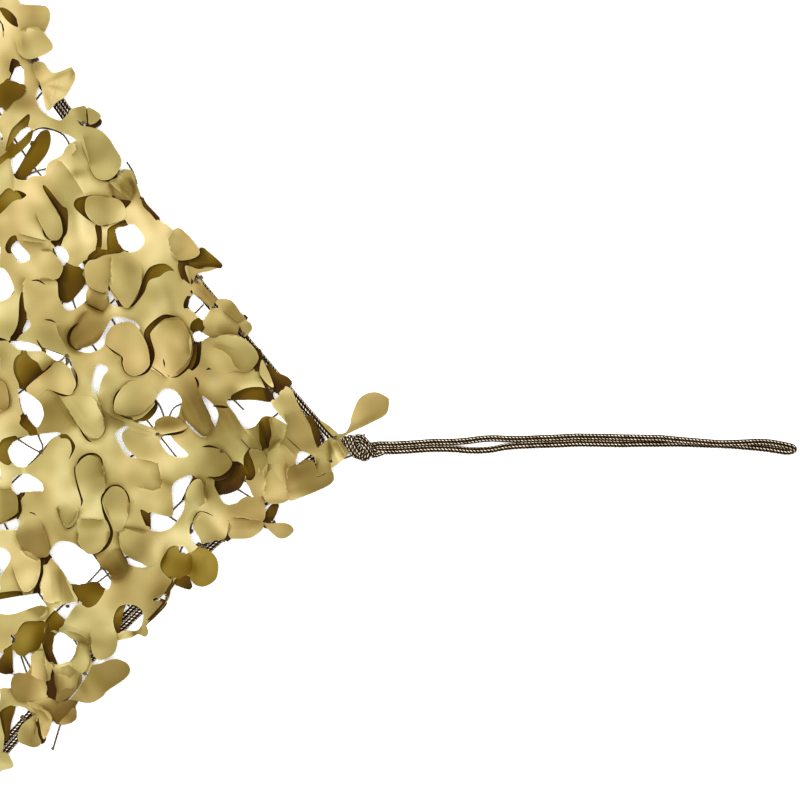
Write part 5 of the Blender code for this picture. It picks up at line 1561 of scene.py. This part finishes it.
def sheet_outline():
    """The edge of the sheet, counter-clockwise from the tied corner."""
    far = scalloped("far_upper", 0, MESH_CELLS, 3) + scalloped("far_lower", 0, MESH_CELLS, 5)
    return smooth_ring([*laid(UPPER_EDGE), *far, *laid(LOWER_EDGE)[::-1]], 0.0016)


class Cutting:
    """All pieces of the cloth, gathered as one mesh with tone, rim and a flat layout."""

    def __init__(self):
        self.mesh = bmesh.new()
        self.layout = self.mesh.loops.layers.uv.new("weave")
        # All pieces of the cloth, gathered as one mesh with a flat layout, its tone (random fading
        # and painted shade) and its rim (where the painted edge highlight runs).
        self.tone = self.mesh.verts.layers.float.new("dull")
        self.rim = self.mesh.verts.layers.float.new("rim")

    def add(self, flat, triangles, place, tone, face_down, rim=None):
        verts = {}
        for triangle in triangles:
            for index in triangle:
                if index not in verts:
                    spot = Vector(flat[index])
                    vert = self.mesh.verts.new(place(spot))
                    vert[self.tone] = tone(spot)
                    vert[self.rim] = rim(spot) if rim else 0.0
                    verts[index] = vert
        for triangle in triangles:
            order = triangle[::-1] if face_down else triangle
            try:
                face = self.mesh.faces.new([verts[i] for i in order])
            except ValueError:
                continue
            face.smooth = True
            for loop, index in zip(face.loops, order):
                loop[self.layout].uv = Vector(flat[index]) * 1000.0


class Edges:
    """Rings to ask how far a point lies from the nearest cut edge."""

    def __init__(self, rings):
        self.tree = tree_of([point for ring in rings for point in ring])

    def away(self, point):
        return self.tree.find((point.x, point.y, 0.0))[2]


class Leaf:
    """A leaf or a hanging back: its outline, the place it grows from and the way it runs."""

    def __init__(self, root, ring):
        self.root, self.ring, self.own = root, ring, Edges([ring])
        middle = sum(ring, Vector((0.0, 0.0))) / len(ring)
        self.axis = (middle - root).normalized()
        self.length = max((p - root).dot(self.axis) for p in ring)

    def reach(self, point):
        """0 at the root, 1 at the far end."""
        return min(1.0, max(0.0, (point - self.root).dot(self.axis) / self.length))

    def free(self, point):
        """How far the leaf has come away from the sheet."""
        return smoothstep(0.12, 0.4, self.reach(point))


def cut_cloth():
    """The sheet with its openings, then the lobes that hang under it and stand over it."""
    cutting = Cutting()
    openings = [smooth_ring(laid(row), CUT_STEP) for row in OPENINGS]
    backs = [(row, smooth_ring(laid(row[4:]), CUT_STEP)) for row in BACKS]
    open_edges = Edges(openings)
    cuts = [Ring(ring) for ring in openings]
    backs = [(row, drawn_to(ring, open_edges.tree, cuts, 0.0024)) for row, ring in backs]
    for width, *row in SLITS:
        half = len(row) // 4 * 2
        backs.append(((*row[half:half + 2], SLIT_DROP, SLIT_SHADE), sliver(width, row)))
    lobes = []
    for row in lattice_cuts():
        opening, pair = s_cut(row, 8)
        openings.append(opening)
        lobes += pair
    leaves, beside = [], []
    for row in LEAVES:
        leaf = Leaf(cell(*row[:2]), smooth_ring(laid(row[4:]), CUT_STEP))
        leaves.append((leaf, box_round(grown(leaf.ring, 0.004))))
        beside += grown(leaf.ring, 0.00025) + grown(leaf.ring, 0.0013)
    outline = sheet_outline()
    flat, triangles = cut_out(outline, openings + [ring for _, ring in backs],
                              SHEET_STEP, FAR_STEP, beside)
    limit = cell(20, 0).x
    edges = Edges([outline, *openings])
    leaf_edges = Edges([leaf.ring for leaf, _ in leaves])

    def base_place(point):
        if point.x < limit:
            for lobe in lobes:
                if lobe.ring.holds(point):
                    return lobe.place(point)
        curl = 0.4 + 1.8 * rippled(point, 40.0, 12.0)
        height = sheet_height(point) - 0.0018 * curl * math.exp(-edges.away(point) / 0.0028)
        return Vector((point.x, point.y, max(height, LEAST_HEIGHT)))

    def base_tone(point):
        # tone: random fading, plus the painted shade and light of the ovals and the flap lines
        fade = 0.34 * rippled(point, 26.0, 4.0)
        fade += 0.2 * rippled(point, 70.0, 3.0)
        return held(0.28 + fade + 1.15 * PAINTED_SHADING.at(point) + flap_lines(point)[0])

    def under_leaves(point):
        """The base with the narrow shade that each free edge of a lobe throws on it."""
        shade = 0.0
        for leaf, box in leaves:
            if in_box(point, box):
                shade = max(shade, leaf.free(point) * math.exp(-leaf.own.away(point) / 0.0013))
        return min(1.0, base_tone(point) + 0.7 * shade)

    # painted highlight along the cut edges of the sheet
    def base_rim(point):
        return 1.0 if edges.away(point) < RIM else 0.0

    cutting.add(flat, triangles, base_place, under_leaves, False, base_rim)
    for number, ((column, row, drop, depth, *_), ring) in enumerate(backs):
        wide = [spot if any(cut.holds(far) for cut in cuts) else far
                for spot, far in zip(ring, grown(ring, BACK_REACH))]
        back = Leaf(cell(column, row), wide)
        flat, triangles = cut_out(wide, [], SHEET_STEP)

        def back_place(point, back=back, drop=drop, apart=0.0002 * (number % 9)):
            t = back.reach(point)
            height = sheet_height(point) - 0.0009 - 0.0013 * drop * math.sqrt(t + 0.05)
            return Vector((point.x, point.y, max(height, back_floor(point) + apart)))

        def back_tone(point, back=back, depth=depth):
            # painted shade: darker next to a leaf edge and towards the back's far end, over its
            # own brown depth, with the painted shade of the ovals and flap lines
            shade = math.exp(-leaf_edges.away(point) / 0.0026)
            fade = 0.3 * rippled(point, 60.0, 6.0)
            fade += 0.7 * PAINTED_SHADING.at(point) + 0.5 * flap_lines(point)[0]
            depth += 0.35 * (back.reach(point) - 0.6) + 0.5 * shade + fade
            return min(1.0, max(0.0, depth))

        cutting.add(flat, triangles, back_place, back_tone, True)
    for number, ((_, _, rise, dull, *_), (leaf, _)) in enumerate(zip(LEAVES, leaves)):
        flat, triangles = cut_out(leaf.ring, [], LEAF_STEP)

        def leaf_place(point, leaf=leaf, rise=rise, number=number):
            t = leaf.reach(point)
            across = Vector((-leaf.axis.y, leaf.axis.x))
            side = (point - leaf.root).dot(across) / leaf.length
            lift = 0.001 * rise * t ** 1.25 - 0.0016 * side * side * min(3.0, abs(rise)) * t
            wave = rippled(point, 62.0, number * 3.1)
            curl = math.exp(-leaf.own.away(point) / 0.0026) * smoothstep(0.15, 0.5, t)
            if rise < 0:
                lift -= 0.0008
            height = sheet_height(point) + 0.0001 + lift + (0.0024 * wave * t - 0.0013 * curl)
            return Vector((point.x, point.y, max(height, LEAST_HEIGHT)))

        def leaf_tone(point, leaf=leaf, dull=dull, number=number):
            # the leaf's painted shade and random fading, grown out of the sheet's tone from its
            # root
            t = smoothstep(0.0, 0.55, leaf.reach(point))
            fade = rippled(point, 45.0, number * 1.7)
            own_fade_and_shade = dull + 0.04 + 0.3 * fade + 0.8 * PAINTED_SHADING.at(point)
            own_fade_and_shade = held(own_fade_and_shade + flap_lines(point)[0])
            base = base_tone(point)
            return base + (own_fade_and_shade - base) * t

        # painted highlight along a leaf's free edge
        def leaf_rim(point, leaf=leaf):
            return leaf.free(point) if leaf.own.away(point) <= RIM else 0.0

        cutting.add(flat, triangles, leaf_place, leaf_tone, False, leaf_rim)
    return cutting


def sand_cloth_finish():
    """Polyester Oxford cloth with a sand polyurethane dressing: matt, slightly slick, with
    a fine even weave that shows through. Its colour runs from lit sand to shaded brown by the
    painted shade of each place, with random fading, and a painted highlight runs along the cut
    edges."""
    made, tree, shader = finish_of("sand_coated_oxford", Roughness=0.6, IOR=1.45,
                                   Specular_IOR_Level=0.14)
    add = partial(add_node, tree)
    dull = add("ShaderNodeAttribute", {"attribute_name": "dull"})
    # the ramp runs from lit sand to shaded brown: painted shade, with random fading
    shade = add("ShaderNodeValToRGB", None, {"Fac": dull.outputs["Fac"]})
    shade_stops(shade, (0.0, "#B6A676"), (1.0, "#4E3C0A"), (0.32, "#8E7F4C"), (0.66, "#6A5927"))
    # painted highlight along the cut edges, marked by the rim attribute
    rim = add("ShaderNodeAttribute", {"attribute_name": "rim"})
    edge_highlight = add("ShaderNodeMapRange", None,
               {"Value": rim.outputs["Fac"], "From Min": 0.70, "From Max": 0.98, "To Max": 0.26})
    layout = add("ShaderNodeUVMap", {"uv_map": "weave"})
    # threads drawn 1.2 mm apart; the real ones, 0.45 mm apart, are too fine to show
    warp, weft = [add("ShaderNodeTexWave", {"bands_direction": way},
                      {"Vector": layout.outputs["UV"], "Scale": 0.26, "Distortion": 0.5,
                       "Detail": 1.0}) for way in ("X", "Y")]
    weave = add("ShaderNodeMath", {"operation": "MULTIPLY"},
                {0: warp.outputs["Fac"], 1: weft.outputs["Fac"]})
    place = add("ShaderNodeTexCoord")
    cloud = add("ShaderNodeTexNoise", None,
                {"Vector": place.outputs["Object"], "Scale": 45.0, "Detail": 4.0})
    fade = add("ShaderNodeMath", {"operation": "MULTIPLY_ADD"}, {0: weave, 1: 0.10, 2: 0.91})
    cloudy = add("ShaderNodeMath", {"operation": "MULTIPLY_ADD"},
                 {0: cloud.outputs["Fac"], 1: 0.16, 2: -0.08})
    both = add("ShaderNodeMath", {"operation": "ADD"}, {0: fade, 1: cloudy})
    edge_lit = add("ShaderNodeMath", {"operation": "ADD"}, {0: both, 1: edge_highlight})
    # the dye drifts between a warm and a greenish sand from one stretch to the next
    drift = add("ShaderNodeTexNoise", None,
                {"Vector": place.outputs["Object"], "Scale": 16.0, "Detail": 2.0})
    dye = add("ShaderNodeValToRGB", None, {"Fac": drift.outputs["Fac"]})
    for stop, at, tint in zip(dye.color_ramp.elements, (0.36, 0.62),
                              ((1.05, 0.97, 0.94, 1.0), (0.96, 1.0, 0.97, 1.0))):
        stop.position, stop.color = at, tint
    dyed = add("ShaderNodeVectorMath", {"operation": "MULTIPLY"}, {0: shade, 1: dye})
    tinted = add("ShaderNodeVectorMath", {"operation": "SCALE"}, {0: dyed, "Scale": edge_lit})
    tree.links.new(tinted.outputs[0], shader.inputs["Base Color"])
    bump = add("ShaderNodeBump", None, {"Strength": 0.25, "Distance": 0.0003, "Height": weave})
    tree.links.new(bump.outputs["Normal"], shader.inputs["Normal"])
    return made


def brown_back_finish():
    """The uncoated back of the cloth: golden-brown weave, drier than the front, painted darker
    brown where it stands for shade.
    """
    made, tree, shader = finish_of("brown_cloth_back", Roughness=0.85, IOR=1.45,
                                   Specular_IOR_Level=0.05)
    add = partial(add_node, tree)
    dull = add("ShaderNodeAttribute", {"attribute_name": "dull"})
    shade = add("ShaderNodeValToRGB", None, {"Fac": dull.outputs["Fac"]})
    shade_stops(shade, (0.0, "#7A692B"), (1.0, "#2C1A05"), (0.5, "#513D06"))
    layout = add("ShaderNodeUVMap", {"uv_map": "weave"})
    weave = add("ShaderNodeTexWave", {"bands_direction": "DIAGONAL"},
                {"Vector": layout.outputs["UV"], "Scale": 0.3, "Distortion": 0.6, "Detail": 1.0})
    fade = add("ShaderNodeMath", {"operation": "MULTIPLY_ADD"},
               {0: weave.outputs["Fac"], 1: 0.14, 2: 0.9})
    tinted = add("ShaderNodeVectorMath", {"operation": "SCALE"}, {0: shade, "Scale": fade})
    tree.links.new(tinted.outputs[0], shader.inputs["Base Color"])
    bump = add("ShaderNodeBump", None,
               {"Strength": 0.3, "Distance": 0.0003, "Height": weave.outputs["Fac"]})
    tree.links.new(bump.outputs["Normal"], shader.inputs["Normal"])
    return made


def lay_cloth():
    """The cloth as one walled sheet: dressed side up, plain back under it."""
    cutting = cut_cloth()
    data = bpy.data.meshes.new("incised_cloth_sheet")
    cutting.mesh.to_mesh(data)
    cutting.mesh.free()
    for finish in (sand_cloth_finish(), brown_back_finish()):
        data.materials.append(finish)
    sheet = add_piece("incised_cloth_sheet", data)
    wall = sheet.modifiers.new("thickness", "SOLIDIFY")
    wall.thickness = CLOTH_WALL
    wall.offset = 0.0
    wall.material_offset = 1
    view = bpy.context.evaluated_depsgraph_get()
    walled = bpy.data.meshes.new_from_object(sheet.evaluated_get(view))
    sheet.modifiers.remove(wall)
    sheet.data = walled
    walled.name = "incised_cloth_sheet"
    walled.shade_smooth()
    walled.set_sharp_from_angle(angle=math.radians(48.0))
    seat(sheet, "incised_cloth")


lay_cloth()


# ---- floor and light ----
def lay_floor():
    """A plain pale floor, a little lit from within like a light table."""
    made, _, shader = finish_of("pale_floor", Roughness=0.9, IOR=1.4)
    shader.inputs["Base Color"].default_value = sand("#FAFAF9")
    shader.inputs["Emission Color"].default_value = sand("#FFFFFF")
    shader.inputs["Emission Strength"].default_value = 0.22
    data = bpy.data.meshes.new("floor")
    mesh = bmesh.new()
    bmesh.ops.create_grid(mesh, x_segments=1, y_segments=1, size=3.0)
    mesh.to_mesh(data)
    mesh.free()
    data.materials.append(made)
    floor = add_piece("floor", data)


def softbox(name, azimuth, elevation, distance, size, power):
    """A square lamp that faces the middle of the floor; angles in degrees."""
    data = bpy.data.lights.new(name, "AREA")
    data.shape = "SQUARE"
    data.size = size
    data.energy = power
    lamp = bpy.data.objects.new(name, data)
    bpy.context.scene.collection.objects.link(lamp)
    a, e = math.radians(azimuth), math.radians(elevation)
    way = Vector((math.cos(a) * math.cos(e), math.sin(a) * math.cos(e), math.sin(e)))
    lamp.location = way * distance
    lamp.rotation_euler = way.to_track_quat("Z", "Y").to_euler()


def set_light():
    """A pale studio: white surroundings, a key from behind on the left, and a wide overhead."""
    world = bpy.data.worlds.new("studio")
    world.use_nodes = True
    world.node_tree.nodes["Background"].inputs["Color"].default_value = (1.0, 1.0, 1.0, 1.0)
    world.node_tree.nodes["Background"].inputs["Strength"].default_value = 0.62
    bpy.context.scene.world = world
    softbox("key", azimuth=143.0, elevation=50.0, distance=3.0, size=0.7, power=98.0)
    softbox("overhead_fill", azimuth=0.0, elevation=88.0, distance=3.4, size=2.2, power=120.0)
    view = bpy.context.scene.view_settings
    view.view_transform = "Standard"
    view.look = "None"


lay_floor()
set_light()
